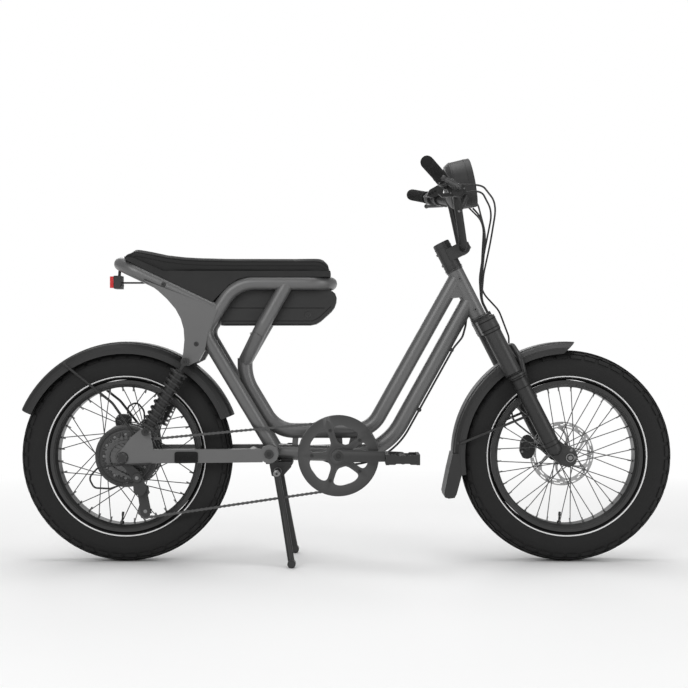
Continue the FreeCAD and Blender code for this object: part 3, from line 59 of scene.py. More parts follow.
# Node trees
class Tree:
    """Short way to build one material's node tree."""

    def __init__(self, name):
        self.material = bpy.data.materials.new(name)
        self.material.use_nodes = True
        self.nodes = self.material.node_tree.nodes
        self.links = self.material.node_tree.links
        self.shader = self.nodes["Principled BSDF"]
        self.coords = self.add("ShaderNodeTexCoord").outputs["Object"]

    def add(self, kind, **inputs):
        item = self.nodes.new(kind)
        for key, value in inputs.items():
            self.put(item, key, value)
        return item

    def put(self, item, key, value):
        socket = item.inputs[key] if isinstance(key, int) else item.inputs[key.replace("_", " ")]
        if isinstance(value, bpy.types.NodeSocket):
            self.links.new(value, socket)
        else:
            socket.default_value = value

    def set(self, **inputs):
        for key, value in inputs.items():
            self.put(self.shader, key, value)

    def scaled(self, x=1.0, y=1.0, z=1.0, turn=(0, 0, 0)):
        item = self.add("ShaderNodeMapping", Vector=self.coords, Scale=(x, y, z), Rotation=turn)
        return item.outputs[0]

    def noise(self, scale, detail=3.0, roughness=0.5, vector=None):
        item = self.add("ShaderNodeTexNoise", Vector=vector or self.coords, Scale=scale,
                        Detail=detail, Roughness=roughness)
        return item.outputs["Fac"]

    def cells(self, scale, feature="F1", vector=None):
        item = self.add("ShaderNodeTexVoronoi", Vector=vector or self.coords, Scale=scale)
        item.feature = feature
        return item.outputs["Distance"]

    def ramp(self, factor, *stops):
        """Colour ramp; each stop is a place and a grey or a colour."""
        item = self.add("ShaderNodeValToRGB", Fac=factor)
        ramp = item.color_ramp
        while len(ramp.elements) < len(stops):
            ramp.elements.new(0.5)
        for element, (place, colour) in zip(ramp.elements, stops):
            element.position = place
            element.color = grey(colour) if isinstance(colour, (int, float)) else (*colour, 1)
        return item.outputs["Color"]

    def mix(self, factor, first, second):
        item = self.add("ShaderNodeMix")
        item.data_type = "RGBA"
        self.put(item, 0, factor)
        self.put(item, 6, first)
        self.put(item, 7, second)
        return item.outputs[2]

    def calc(self, operation, first, second=0.0):
        item = self.nodes.new("ShaderNodeMath")
        item.operation = operation
        self.put(item, 0, first)
        self.put(item, 1, second)
        return item.outputs[0]

    def bump(self, height, strength, distance, normal=None):
        item = self.add("ShaderNodeBump", Height=height, Strength=strength, Distance=distance)
        if normal is not None:
            self.links.new(normal, item.inputs["Normal"])
        return item.outputs[0]

    def edge_wear(self):
        """1 on sharp convex edges, 0 elsewhere."""
        pointy = self.add("ShaderNodeNewGeometry").outputs["Pointiness"]
        return self.ramp(pointy, (0.5, 0.0), (0.58, 1.0))


def grey(value):
    return (value, value, value, 1)


def shade(value, tint=(1, 1, 1)):
    return tuple(value * part for part in tint)


PAINT = 0.118
BLACK = 0.021


def frame_paint():
    tree = Tree("frame_paint")
    flake = tree.cells(2600)
    cloud = tree.noise(9, 2)
    base = tree.mix(flake, grey(PAINT * 0.9), grey(PAINT * 1.16))
    worn = tree.mix(tree.ramp(cloud, (0.35, 0.0), (0.75, 1.0)), base, grey(PAINT * 1.05))
    tree.set(Base_Color=worn, Metallic=0.35, Roughness=tree.ramp(cloud, (0.3, 0.38), (0.8, 0.46)))
    orange_peel = tree.noise(420, 2)
    tree.set(Normal=tree.bump(orange_peel, 0.06, 0.0004))
    tree.set(Coat_Weight=0.35, Coat_Roughness=0.28)
    return tree.material


def matte_metal(name, value, rough, metallic=0.2):
    tree = Tree(name)
    cloud = tree.noise(14, 3)
    fine = tree.noise(900, 2)
    edge = tree.edge_wear()
    base = tree.mix(cloud, grey(value * 0.85), grey(value * 1.2))
    tree.set(Base_Color=tree.mix(tree.calc("MULTIPLY", edge, 0.3), base, grey(value * 3)))
    tree.set(Metallic=metallic, Roughness=tree.ramp(cloud, (0.3, rough - 0.04), (0.75, rough + 0.06)))
    tree.set(Normal=tree.bump(fine, 0.12, 0.0003))
    return tree.material


def grained_plastic(name, value, rough=0.5, grain=1500, depth=0.22):
    tree = Tree(name)
    cells = tree.cells(grain)
    cloud = tree.noise(11, 3)
    tree.set(Base_Color=tree.mix(cloud, grey(value * 0.85), grey(value * 1.15)))
    tree.set(Roughness=tree.ramp(cloud, (0.3, rough - 0.05), (0.75, rough + 0.06)))
    tree.set(Normal=tree.bump(cells, depth, 0.0003))
    return tree.material


def rubber(name, value, rough=0.72):
    tree = Tree(name)
    dust = tree.noise(26, 5, 0.65)
    fine = tree.noise(1300, 2)
    base = tree.mix(tree.ramp(dust, (0.45, 0.0), (0.8, 1.0)), grey(value * 0.9), grey(value * 1.35))
    tree.set(Base_Color=base, Roughness=tree.ramp(dust, (0.3, rough - 0.06), (0.8, rough + 0.08)))
    tree.set(Specular_IOR_Level=0.3)
    tree.set(Normal=tree.bump(fine, 0.25, 0.0003))
    return tree.material


def steel(name, value, rough, stretch=(1, 1, 1), tint=(1, 1, 1)):
    tree = Tree(name)
    lines = tree.noise(600, 2, 0.5, tree.scaled(*stretch))
    cloud = tree.noise(30, 3)
    dark, light = (*shade(value * 0.82, tint), 1), (*shade(value * 1.15, tint), 1)
    tree.set(Base_Color=tree.mix(lines, dark, light), Metallic=1.0)
    tree.set(Roughness=tree.ramp(cloud, (0.3, rough - 0.05), (0.75, rough + 0.08)))
    tree.set(Normal=tree.bump(lines, 0.08, 0.0002))
    return tree.material


def seat_cover():
    tree = Tree("seat_cover")
    grain = tree.cells(950)
    fold = tree.noise(13, 3)
    base = tree.mix(fold, grey(0.009), grey(0.014))
    tree.set(Base_Color=base, Roughness=tree.ramp(grain, (0.0, 0.72), (0.6, 0.62)))
    tree.set(Sheen_Weight=0.04, Sheen_Roughness=0.5, Specular_IOR_Level=0.3)
    creases = tree.bump(fold, 0.12, 0.004)
    tree.set(Normal=tree.bump(grain, 0.4, 0.0004, creases))
    return tree.material


def lens_glass():
    tree = Tree("lamp_glass")
    ribs = tree.add("ShaderNodeTexWave", Vector=tree.coords, Scale=70.0, Distortion=0.0)
    ribs.bands_direction = "Y"
    tree.set(Base_Color=(0.93, 0.95, 0.97, 1), Roughness=0.06, IOR=1.5, Transmission_Weight=1.0)
    tree.set(Normal=tree.bump(ribs.outputs["Fac"], 0.25, 0.001))
    return tree.material


def red_lens():
    tree = Tree("tail_red")
    grid = tree.cells(260)
    tree.set(Base_Color=tree.mix(grid, (0.62, 0.012, 0.012, 1), (0.36, 0.006, 0.008, 1)))
    tree.set(Roughness=0.14, Coat_Weight=0.7, Coat_Roughness=0.05)
    tree.set(Emission_Color=(0.9, 0.02, 0.02, 1), Emission_Strength=0.12)
    tree.set(Normal=tree.bump(grid, 0.35, 0.0008))
    return tree.material


FINISH = {
    "frame_paint": frame_paint(),
    "black_metal": matte_metal("black_metal", BLACK, 0.42),
    "tyre": rubber("tyre", 0.012),
    "rim_black": matte_metal("rim_black", 0.02, 0.36),
    "spoke_steel": steel("spoke_steel", 0.13, 0.3),
    "disc_steel": steel("disc_steel", 0.42, 0.28, (1, 6, 1)),
    "motor_grey": matte_metal("motor_grey", 0.045, 0.4, 0.5),
    "cog_steel": steel("cog_steel", 0.13, 0.36),
    "black_plastic": grained_plastic("black_plastic", 0.018),
    "seat_cover": seat_cover(),
    "grip_rubber": rubber("grip_rubber", 0.009, 0.8),
    "bolt_steel": steel("bolt_steel", 0.26, 0.34),
    "lamp_glass": lens_glass(),
    "tail_red": red_lens(),
    "ring_alloy": matte_metal("ring_alloy", 0.055, 0.38, 0.7),
    "chain_steel": steel("chain_steel", 0.11, 0.38),
    "pan_plastic": grained_plastic("pan_plastic", 0.007, 0.66),
    "case_plastic": grained_plastic("case_plastic", 0.011),
    "hose_black": grained_plastic("hose_black", 0.009, 0.5, 900, 0.1),
    "bar_black": matte_metal("bar_black", 0.012, 0.42),
}
# Nodes whose finish is a darker version of their slot's.
NODE_FINISH = {
    "seat_pan": "pan_plastic", "battery": "case_plastic", "rear_fender": "case_plastic", "handlebar": "bar_black",
    "brake_levers": "bar_black", "bar_controls": "hose_black", "steering_cables": "hose_black",
    "frame_cables": "hose_black", "front_caliper": "bar_black", "rear_caliper": "bar_black",
}


def dress(item, name):
    """Give a new piece a finish."""
    item.data.materials.clear()
    item.data.materials.append(FINISH[name])
    return item


for part in RECORD["subparts"]:
    item = NODES[part["node"]]
    item.data.materials.clear()
    item.data.materials.append(FINISH[NODE_FINISH.get(part["node"], part["material_slot"])])


# Stage: pale floor, soft studio light, camera at the photograph's angle
def make_floor():
    side = 40
    mesh = bpy.data.meshes.new("floor")
    corners = [(-side, -side, 0), (side, -side, 0), (side, side, 0), (-side, side, 0)]
    mesh.from_pydata(corners, [], [(0, 1, 2, 3)])
    floor = bpy.data.objects.new("floor", mesh)
    bpy.context.scene.collection.objects.link(floor)
    tree = Tree("floor")
    near = tree.add("ShaderNodeTexGradient", Vector=tree.scaled(0.36, 0.36, 0.36))
    near.gradient_type = "SPHERICAL"
    tree.set(Base_Color=grey(0.93), Roughness=0.7, Specular_IOR_Level=0.2)
    glow = tree.add("ShaderNodeEmission", Color=grey(1.0), Strength=1.0)
    path = tree.add("ShaderNodeLightPath")
    seen = tree.calc("MAXIMUM", path.outputs["Is Camera Ray"], path.outputs["Is Glossy Ray"])
    seen = tree.calc("MAXIMUM", seen, path.outputs["Is Transmission Ray"])
    away = tree.calc("SUBTRACT", 1.0, tree.ramp(near.outputs["Fac"], (0.02, 0.0), (0.55, 1.0)))
    share = tree.calc("MULTIPLY", seen, away)
    blend = tree.add("ShaderNodeMixShader", Fac=share)
    tree.links.new(tree.shader.outputs[0], blend.inputs[1])
    tree.links.new(glow.outputs[0], blend.inputs[2])
    tree.links.new(blend.outputs[0], tree.nodes["Material Output"].inputs["Surface"])
    mesh.materials.append(tree.material)
    return floor


def make_world():
    world = bpy.data.worlds.new("studio")
    world.use_nodes = True
    nodes, links = world.node_tree.nodes, world.node_tree.links
    light = nodes["Background"]
    light.inputs["Color"].default_value = grey(1.0)
    light.inputs["Strength"].default_value = 0.42
    seen = nodes.new("ShaderNodeBackground")
    seen.inputs["Strength"].default_value = 1.0
    seen.inputs["Color"].default_value = grey(1.0)
    path = nodes.new("ShaderNodeLightPath")
    either = nodes.new("ShaderNodeMath")
    either.operation = "MAXIMUM"
    links.new(path.outputs["Is Camera Ray"], either.inputs[0])
    links.new(path.outputs["Is Transmission Ray"], either.inputs[1])
    mix = nodes.new("ShaderNodeMixShader")
    links.new(either.outputs[0], mix.inputs[0])
    links.new(light.outputs[0], mix.inputs[1])
    links.new(seen.outputs[0], mix.inputs[2])
    links.new(mix.outputs[0], nodes["World Output"].inputs["Surface"])
    bpy.context.scene.world = world


def make_lamp(name, place, aim, size, power):
    data = bpy.data.lights.new(name, "AREA")
    data.shape = "RECTANGLE"
    data.size, data.size_y = size
    data.energy = power
    lamp = bpy.data.objects.new(name, data)
    lamp.location = place
    lamp.rotation_euler = (Vector(aim) - Vector(place)).to_track_quat("-Z", "Y").to_euler()
    bpy.context.scene.collection.objects.link(lamp)
    return lamp


make_floor()
make_world()
make_lamp("top", (0.1, 0.2, 3.6), (0, 0, 0.4), (3.2, 2.6), 62)
make_lamp("key", (-1.6, -3.4, 2.3), (0, 0, 0.5), (2.4, 1.8), 46)
make_lamp("side", (3.2, -2.2, 1.5), (0, 0, 0.5), (1.8, 2.0), 30)
make_lamp("back", (-0.6, 3.6, 2.2), (0, 0, 0.5), (3.0, 1.6), 34)

CAMERA_PLACE = Vector((-0.0067, -3.7, 0.601))
FRAME_WIDTH = 1.915
SENSOR = 36.0
camera_data = bpy.data.cameras.new("camera")
camera_data.sensor_width = SENSOR
camera_data.lens = SENSOR * abs(CAMERA_PLACE.y) / FRAME_WIDTH
camera = bpy.data.objects.new("camera", camera_data)
camera.location = CAMERA_PLACE
camera.rotation_euler = (math.radians(90), 0, 0)
bpy.context.scene.collection.objects.link(camera)
bpy.context.scene.camera = camera
bpy.context.scene.view_settings.view_transform = "Standard"


# Mesh building
MM = 0.001


class Build:
    """Gathers points and faces, then makes one piece of them."""

    def __init__(self):
        self.points = []
        self.faces = []

    def grid(self, rows, round_rows=False, round_columns=True):
        """Skin over rows of points, each row as long as the next."""
        base, wide = len(self.points), len(rows[0])
        for row in rows:
            self.points += [Vector(point) for point in row]
        row_count = len(rows) if round_rows else len(rows) - 1
        column_count = wide if round_columns else wide - 1
        for i in range(row_count):
            for j in range(column_count):
                a = base + i * wide + j
                b = base + i * wide + (j + 1) % wide
                step = ((i + 1) % len(rows) - i) * wide
                self.faces.append((a, b, b + step, a + step))
        return base

    def cap(self, first, count, flip=False):
        ring = list(range(first, first + count))
        self.faces.append(tuple(reversed(ring)) if flip else tuple(ring))

    def tube(self, path, radius, sides=10, closed=False, taper=None):
        """Round tube along points; the radius is in millimetres, taper is each point's share of it."""
        path = [Vector(point) for point in path]
        count = len(path)
        ahead = [(path[(k + 1) % count if closed else min(k + 1, count - 1)]
                  - path[k - 1 if closed else max(k - 1, 0)]).normalized() for k in range(count)]
        side = ahead[0].orthogonal().normalized()
        rows = []
        for k in range(count):
            side = (side - ahead[k] * side.dot(ahead[k])).normalized()
            up = ahead[k].cross(side)
            reach = radius * MM * (taper[k] if taper else 1)
            rows.append([path[k] + (side * math.cos(turn) + up * math.sin(turn)) * reach
                         for turn in (2 * math.pi * j / sides for j in range(sides))])
        base = self.grid(rows, closed)
        if not closed:
            self.cap(base, sides, True)
            self.cap(base + (count - 1) * sides, sides)

    def turned(self, profile, centre, axis=ACROSS, sides=48, closed=False):
        """Turned shape: profile is (radius, place along the axis), in millimetres."""
        axis = Vector(axis).normalized()
        side = axis.orthogonal().normalized()
        up = axis.cross(side)
        rows = []
        for radius, along in profile:
            middle = Vector(centre) + axis * (along * MM)
            rows.append([middle + (side * math.cos(turn) + up * math.sin(turn)) * (radius * MM)
                         for turn in (2 * math.pi * j / sides for j in range(sides))])
        base = self.grid(rows, closed)
        if not closed:
            if profile[0][0] > 0.01:
                self.cap(base, sides, True)
            if profile[-1][0] > 0.01:
                self.cap(base + (len(profile) - 1) * sides, sides)

    def open_ends(self):
        """Leave out the flat ends of what was turned."""
        self.faces = [face for face in self.faces if len(face) == 4]

    def prism(self, outline, low, high, place=lambda u, v, w: (u, w, v)):
        """Flat outline made thick, in millimetres: place turns outline and depth into a point."""
        rows = [[place(u * MM, v * MM, w * MM) for u, v in outline] for w in (low, high)]
        base = self.grid(rows)
        self.cap(base, len(outline), True)
        self.cap(base + len(outline), len(outline))

    def bolt(self, centre, axis, radius, high):
        """Socket-head bolt: a washer, a round head and a well in its top."""
        well = radius * 0.55
        self.turned([(radius * 1.25, -0.6), (radius * 1.25, 0.5), (radius, 0.5),
                     (radius, high * 0.85), (radius * 0.88, high), (well, high), (well, high * 0.35),
                     (0, high * 0.35)], centre, axis, 18)

    def piece(self, name, finish, body, smooth=32):
        mesh = bpy.data.meshes.new(name)
        mesh.from_pydata(self.points, [], self.faces)
        work = bmesh.new()
        work.from_mesh(mesh)
        bmesh.ops.remove_doubles(work, verts=work.verts, dist=0.000002)
        bmesh.ops.dissolve_degenerate(work, edges=work.edges, dist=0.000002)
        bmesh.ops.recalc_face_normals(work, faces=work.faces)
        work.to_mesh(mesh)
        work.free()
        item = bpy.data.objects.new(name, mesh)
        bpy.context.scene.collection.objects.link(item)
        soften(item, smooth)
        dress(item, finish)
        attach(item, body)
        return item


def soften(item, angle=32):
    """Smooth shading that keeps the edges sharper than an angle."""
    item.data.shade_smooth()
    item.data.set_sharp_from_angle(angle=math.radians(angle))


def rounded(outline, radius, steps=3):
    """Outline whose corners are rounded."""
    result = []
    count = len(outline)
    for k in range(count):
        corner = Vector(outline[k])
        before = Vector(outline[k - 1]) - corner
        after = Vector(outline[(k + 1) % count]) - corner
        reach = min(radius, before.length * 0.45, after.length * 0.45)
        start, end = corner + before.normalized() * reach, corner + after.normalized() * reach
        for step in range(steps + 1):
            share = step / steps
            result.append(tuple(start * (1 - share) ** 2 + corner * 2 * share * (1 - share) + end * share ** 2))
    return result


def rounded_box(half_u, half_v, radius, steps=3):
    """Rounded rectangle round the origin."""
    return rounded([(-half_u, -half_v), (half_u, -half_v), (half_u, half_v), (-half_u, half_v)], radius, steps)


# Tyres: carcass with moulded ridges, tread blocks and the pale reflective line
TYRE_RADIUS = 292 * MM
TYRE_HALF = 49 * MM
TREAD_DEEP = 3.6 * MM
SECTION_MID = 247 * MM
SECTION_FULL = 0.82
BEAD_TURN = 149
SEGMENTS = 176


def section_point(turn, sink=0.0):
    """Radius and side place on the tyre section; turn is from the tread's middle, in degrees."""
    across, out = math.sin(math.radians(turn)), math.cos(math.radians(turn))
    y = math.copysign(abs(across) ** SECTION_FULL, across) * (TYRE_HALF - sink)
    rise = TYRE_RADIUS - SECTION_MID - sink
    return SECTION_MID + math.copysign(abs(out) ** SECTION_FULL, out) * rise, y


def make_tyre(name, hub, body):
    turns = [-BEAD_TURN + k * 2 * BEAD_TURN / 56 for k in range(57)]
    rings = []
    for turn in turns:
        ridge = 0.7 * MM if 84 < abs(turn) < 90 or 118 < abs(turn) < 122 else 0.0
        rings.append(section_point(turn, TREAD_DEEP - ridge))
    build = Build()
    rows = []
    for radius, y in rings:
        rows.append([hub + Vector((radius * math.cos(a), y, radius * math.sin(a)))
                     for a in (2 * math.pi * k / SEGMENTS for k in range(SEGMENTS))])
    build.grid(rows, round_rows=True)
    item = build.piece(name + "_tread", "tyre", body, 40)
    work = bmesh.new()
    work.from_mesh(item.data)
    blocks = []
    for face in work.faces:
        middle = face.calc_center_median() - hub
        radius = math.hypot(middle.x, middle.z)
        turn = math.degrees(math.atan2(middle.y, radius - SECTION_MID))
        if radius < SECTION_MID or abs(turn) > 64:
            continue
        step = math.degrees(math.atan2(middle.z, middle.x)) * SEGMENTS / 360
        band = int((turn + 64) // 16)
        lean = abs(turn) / 16
        place = (step + lean * 1.4 + (band % 2) * 2) % 4
        groove = abs((turn + 64) % 16 - 8) > 5.2
        if place > 0.95 and not groove:
            blocks.append(face)
    raised = bmesh.ops.extrude_face_region(work, geom=blocks)
    for vert in [part for part in raised["geom"] if isinstance(part, bmesh.types.BMVert)]:
        radial = vert.co - hub
        middle = Vector((radial.x, 0, radial.z)).normalized() * SECTION_MID
        vert.co += (radial - middle).normalized() * TREAD_DEEP * 0.94
    bmesh.ops.delete(work, geom=blocks, context="FACES_ONLY")
    work.to_mesh(item.data)
    work.free()
    soften(item, 40)
    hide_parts(name)
    for side, tag in ((1, "left"), (-1, "right")):
        line = Build()
        out = [section_point(turn, TREAD_DEEP) for turn in (124.5, 126, 129, 130.5)]
        lift = (0.0, 0.5, 0.5, 0.0)
        line.turned([(radius / MM, side * (y / MM + rise)) for (radius, y), rise in zip(out, lift)], hub, sides=128)
        line.open_ends()
        line.piece("%s_line_%s" % (name, tag), "tyre_line", body)


# Places shared by the fine pieces
def spot(x, y, z):
    """Point given in millimetres."""
    return Vector((x, y, z)) * MM


FORK_FOOT = FRONT - HEAD_FORE * 40 * MM
PIVOT = spot(-210, 0, 302)


def steer(x, y, z):
    """Point in the steering axis' own frame: ahead, left and up from its foot, in millimetres."""
    return FORK_FOOT + HEAD_FORE * x * MM + ACROSS * y * MM + HEAD_UP * z * MM


def on_wheel(hub, angle, radius, y):
    turn = math.radians(angle)
    return hub + spot(radius * math.cos(turn), y, radius * math.sin(turn))


def arc_path(hub, first, last, radius, y, steps=40):
    return [on_wheel(hub, first + (last - first) * k / steps, radius, y) for k in range(steps + 1)]


def bolts(name, finish, body, places, radius=4.0, high=3.0):
    """Socket-head bolts; each place is a point and the way its head faces."""
    build = Build()
    for centre, axis in places:
        build.bolt(centre, axis, radius, high)
    return build.piece(name, finish, body)


def side_pair(name, finish, body, profile, centre, out, sides, closed=False):
    """The same turned shape on both sides of the middle plane, out millimetres from it."""
    build = Build()
    for side in (1, -1):
        build.turned(profile, centre + ACROSS * side * out * MM, ACROSS * side, sides, closed)
    return build.piece(name, finish, body)


# Wheels: nipples, valves and rim lines
SPOKES = 36
NIPPLE_LOW, NIPPLE_HIGH = 178, 190.5


def make_wheel_fittings(wheel, hub):
    body = wheel + "_wheel"
    build = Build()
    for k in range(SPOKES):
        side = 1 if k % 2 else -1
        sense = 1 if (k // 2) % 2 else -1
        angle = 360 * (k + 0.5) / SPOKES
        y = side * (8 + sense * 2)
        foot, top = on_wheel(hub, angle, NIPPLE_LOW, y * 1.35), on_wheel(hub, angle, NIPPLE_HIGH, y)
        build.turned([(1.5, 0), (2.0, 1.5), (2.1, 9), (3.0, 10),
                      (3.0, 12.4)], foot, top - foot, 10)
    build.piece(wheel + "_nipples", "bolt_steel", body)
    valve = Build()
    foot = on_wheel(hub, 265, 158, 0)
    valve.turned([(1.6, 0), (3.6, 0.8), (3.6, 11), (2.6, 12),
                  (2.6, 25), (5.5, 26), (5.5, 33)], foot, foot - hub, 16)
    valve.piece(wheel + "_valve", "black_metal", body)
    lines = Build()
    for side in (1, -1):
        for radius, y in ((196.5, 38.6), (203.0, 38.7)):
            lines.turned([(radius - 0.9, 0), (radius, side * 0.7), (radius + 0.9, 0)],
                         hub + ACROSS * side * (y - 0.5) * MM, ACROSS, 96)
            lines.open_ends()
    lines.piece(wheel + "_rim_lines", "motor_grey", body)


# Brake disc: an outer track full of slots on six swept arms
DISC_SECTORS = 60
DISC_BANDS = [72.5, 76.0, 79.5, 83.0, 86.5, 90.0]
DISC_Y = 51.0


def make_disc(wheel, hub):
    mesh = bpy.data.meshes.new(wheel + "_disc")
    work = bmesh.new()
    rows = []
    for radius in DISC_BANDS:
        rows.append([work.verts.new(on_wheel(hub, 360 * k / DISC_SECTORS + radius * 0.25, radius, DISC_Y))
                     for k in range(DISC_SECTORS)])
    for j in range(len(rows) - 1):
        for k in range(DISC_SECTORS):
            if 0 < j < 4 and (k + 2 * j) % 5 in (0, 1) and (k % 2 or j != 2):
                continue
            after = (k + 1) % DISC_SECTORS
            work.faces.new((rows[j][k], rows[j][after], rows[j + 1][after], rows[j + 1][k]))
    centre = [[work.verts.new(on_wheel(hub, 360 * k / 48, radius, DISC_Y)) for k in range(48)]
              for radius in (14, 25)]
    for k in range(48):
        after = (k + 1) % 48
        work.faces.new((centre[0][k], centre[0][after], centre[1][after], centre[1][k]))
    for arm in range(6):
        steps = []
        for step in range(9):
            share = step / 8
            radius = 24.5 + (73.0 - 24.5) * share
            turn = 60 * arm + 34 * share ** 1.3
            wide = math.degrees(3.6 * (1 + 1.4 * (2 * share - 1) ** 4) / radius)
            steps.append([work.verts.new(on_wheel(hub, turn - wide, radius, DISC_Y)),
                          work.verts.new(on_wheel(hub, turn + wide, radius, DISC_Y))])
        for low, high in zip(steps, steps[1:]):
            work.faces.new((low[0], low[1], high[1], high[0]))
    bmesh.ops.recalc_face_normals(work, faces=work.faces)
    work.to_mesh(mesh)
    work.free()
    item = bpy.data.objects.new(wheel + "_disc", mesh)
    bpy.context.scene.collection.objects.link(item)
    solid = item.modifiers.new("solid", "SOLIDIFY")
    solid.thickness = 1.9 * MM
    solid.offset = 0
    bake(item)
    soften(item, 30)
    dress(item, "disc_steel")
    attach(item, wheel + "_wheel")
    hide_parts(wheel + "_rotor")
    bolts(wheel + "_disc_bolts", "bolt_steel", wheel + "_wheel",
          [(on_wheel(hub, 60 * k + 30, 19.5, 52.0), ACROSS) for k in range(6)], 2.6, 2.2)


# Hub motor: rings, ribs and screws on its covers
def make_motor():
    lines = Build()
    for side in (1, -1):
        for radius, y, wide in ((53, 41.9, 1.6), (66, 39.8, 1.2), (76.5, 35.4, 1.2)):
            lines.turned([(radius - wide, 0), (radius - wide * 0.6, side * 1.3),
                          (radius + wide * 0.6, side * 1.3), (radius + wide, 0)],
                         REAR + ACROSS * side * (y - 0.6) * MM, ACROSS, 96)
        lines.open_ends()
    lines.piece("motor_rings", "motor_grey", "rear_wheel")
    ribs = Build()
    for side in (1, -1):
        for k in range(12):
            low, high = on_wheel(REAR, 30 * k + 8, 55, side * 41.6), on_wheel(REAR, 30 * k + 8, 65, side * 39.8)
            ribs.tube([low, low.lerp(high, 0.5), high], 1.9, 8)
            low, high = on_wheel(REAR, 30 * k + 15, 55, side * 41.6), on_wheel(REAR, 30 * k + 15, 65, side * 39.8)
            ribs.tube([low, low.lerp(high, 0.5), high], 1.9, 8)
    ribs.piece("motor_ribs", "motor_grey", "rear_wheel")
    places = []
    for side in (1, -1):
        places += [(on_wheel(REAR, 30 * k, 60, side * 40.7), ACROSS * side) for k in range(12)]
    bolts("motor_bolts", "bolt_steel", "rear_wheel", places, 3.0, 2.6)


# Freewheel: seven sprockets with cut teeth on one body
SPROCKETS = [57, 52, 47, 42, 37, 32.5, 28.5]
SPROCKET_STEP = 4.4
CHAIN_PITCH = 12.7
RING_RADIUS = 92


def toothed(centre_radius, count, deep):
    """Outline of a toothed wheel with rounded gullets, in millimetres."""
    outline = []
    for k in range(count):
        for share, drop in ((0.0, deep), (0.18, deep * 0.82), (0.36, deep * 0.1), (0.5, 0.0), (0.64, deep * 0.1),
                            (0.82, deep * 0.82)):
            turn = 2 * math.pi * (k + share) / count
            radius = centre_radius - drop
            outline.append((radius * math.cos(turn), radius * math.sin(turn)))
    return outline


def flat_wheel(build, centre, outline, near, far, bore):
    """Toothed plate with a round bore, in millimetres: a ring between the outline and the bore."""
    rows = []
    for y, ring in ((near, "in"), (near, "out"), (far, "out"), (far, "in")):
        row = []
        for u, v in outline:
            if ring == "in":
                length = math.hypot(u, v)
                u, v = u * bore / length, v * bore / length
            row.append((centre.x + u * MM, y * MM, centre.z + v * MM))
        rows.append(row)
    build.grid(rows, round_rows=True)


def make_freewheel():
    build = Build()
    for k, radius in enumerate(SPROCKETS):
        near = -(52 + k * SPROCKET_STEP)
        teeth = round(2 * math.pi * (radius - 3) / CHAIN_PITCH)
        flat_wheel(build, REAR, toothed(radius, teeth, 4.2), near, near - 2.0, 21)
    build.turned([(8, -50.5), (22, -50.5), (22, -80.5), (20.5, -82),
                  (15, -82), (14, -80), (8, -80)], REAR, ACROSS, 40, closed=True)
    item = build.piece("sprockets", "cog_steel", "rear_wheel", 28)
    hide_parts("freewheel")


# Chainring: guard plate with five rounded windows, the spider behind it, the teeth and the bolts
GUARD_ARMS = 5
GUARD_FIRST = 36
WINDOW_MIDDLE = 58
WINDOW_HALF = 24.5
ARM_HALF = 8.5


def window_sector(first, inner, outer, steps=44):
    """One fifth of the plate: its outside outline and its rounded window, as (radius, angle) pairs."""
    half_turn = math.pi / GUARD_ARMS
    outside, window = [], []
    for k in range(steps):
        turn = 2 * math.pi * (k + 0.5) / steps
        across, along = math.cos(turn), math.sin(turn)
        square = max(abs(across), abs(along))
        share = (across / square + 1) / 2
        outside.append((inner + (outer - inner) * share, first + half_turn * along / square))
        u = math.copysign(abs(across) ** 0.5, across)
        v = math.copysign(abs(along) ** 0.5, along)
        radius = WINDOW_MIDDLE + WINDOW_HALF * u
        window.append((radius, first + v * (half_turn - math.asin(ARM_HALF / radius))))
    return outside, window


def windowed_plate(build, inner, outer, near, far):
    """Round plate with windows between two depths, in millimetres."""
    for k in range(GUARD_ARMS):
        first = math.radians(GUARD_FIRST + 180 / GUARD_ARMS + 360 * k / GUARD_ARMS)
        outside, window = window_sector(first, inner, outer)
        rows = []
        for ring, depth in ((outside, near), (window, near), (window, far), (outside, far)):
            rows.append([BRACKET + spot(radius * math.cos(turn), depth, radius * math.sin(turn))
                         for radius, turn in ring])
        build.grid(rows)


def make_guard():
    plate = Build()
    windowed_plate(plate, 24, 109, -81.5, -78.5)
    plate.turned([(109, 1.5), (110.9, 0.8), (110.9, -0.8), (109, -1.5)],
                 BRACKET + ACROSS * -80 * MM, ACROSS, 120)
    plate.open_ends()
    plate_item = plate.piece("guard_plate", "ring_alloy", "crank")
    spider = Build()
    windowed_plate(spider, 24, 84, -78.4, -70)
    spider.turned([(82.4, -78.4), (90, -78.4), (90, -68.5), (82.4, -68.5)],
                  BRACKET, ACROSS, 96, closed=True)
    spider.turned([(15, -81.4), (30, -81.4), (30, -70), (15, -70)],
                  BRACKET, ACROSS, 48, closed=True)
    spider_item = spider.piece("chainring_spider", "ring_alloy", "crank")
    for item in (plate_item, spider_item):
        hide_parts("chainring")
    teeth = Build()
    count = round(2 * math.pi * RING_RADIUS / CHAIN_PITCH)
    flat_wheel(teeth, BRACKET, toothed(RING_RADIUS + 2.5, count, 5.0), -71.3, -68.8, 84)
    teeth.piece("ring_teeth", "cog_steel", "crank", 28)
    places = [(on_wheel(BRACKET, 72 * k + GUARD_FIRST, 72, -81.5), ACROSS * -1) for k in range(GUARD_ARMS)]
    bolts("guard_bolts", "black_metal", "crank", places, 4.0, 2.0)
    side_pair("crank_caps", "black_metal", "crank",
              [(13.5, -0.5), (13.5, 1.2), (11, 2.4), (6.5, 2.4), (6.5, 0.4), (0, 0.4)], BRACKET, 98, 28)


# Fork: top caps, leg rings, wiper seals and crown bolts
LEG_AHEAD, LEG_SIDE = 13, 82
COVER_AHEAD = 7.5
CROWN_LOW, CROWN_TOP = 402, 442
COVER_LOW = 272


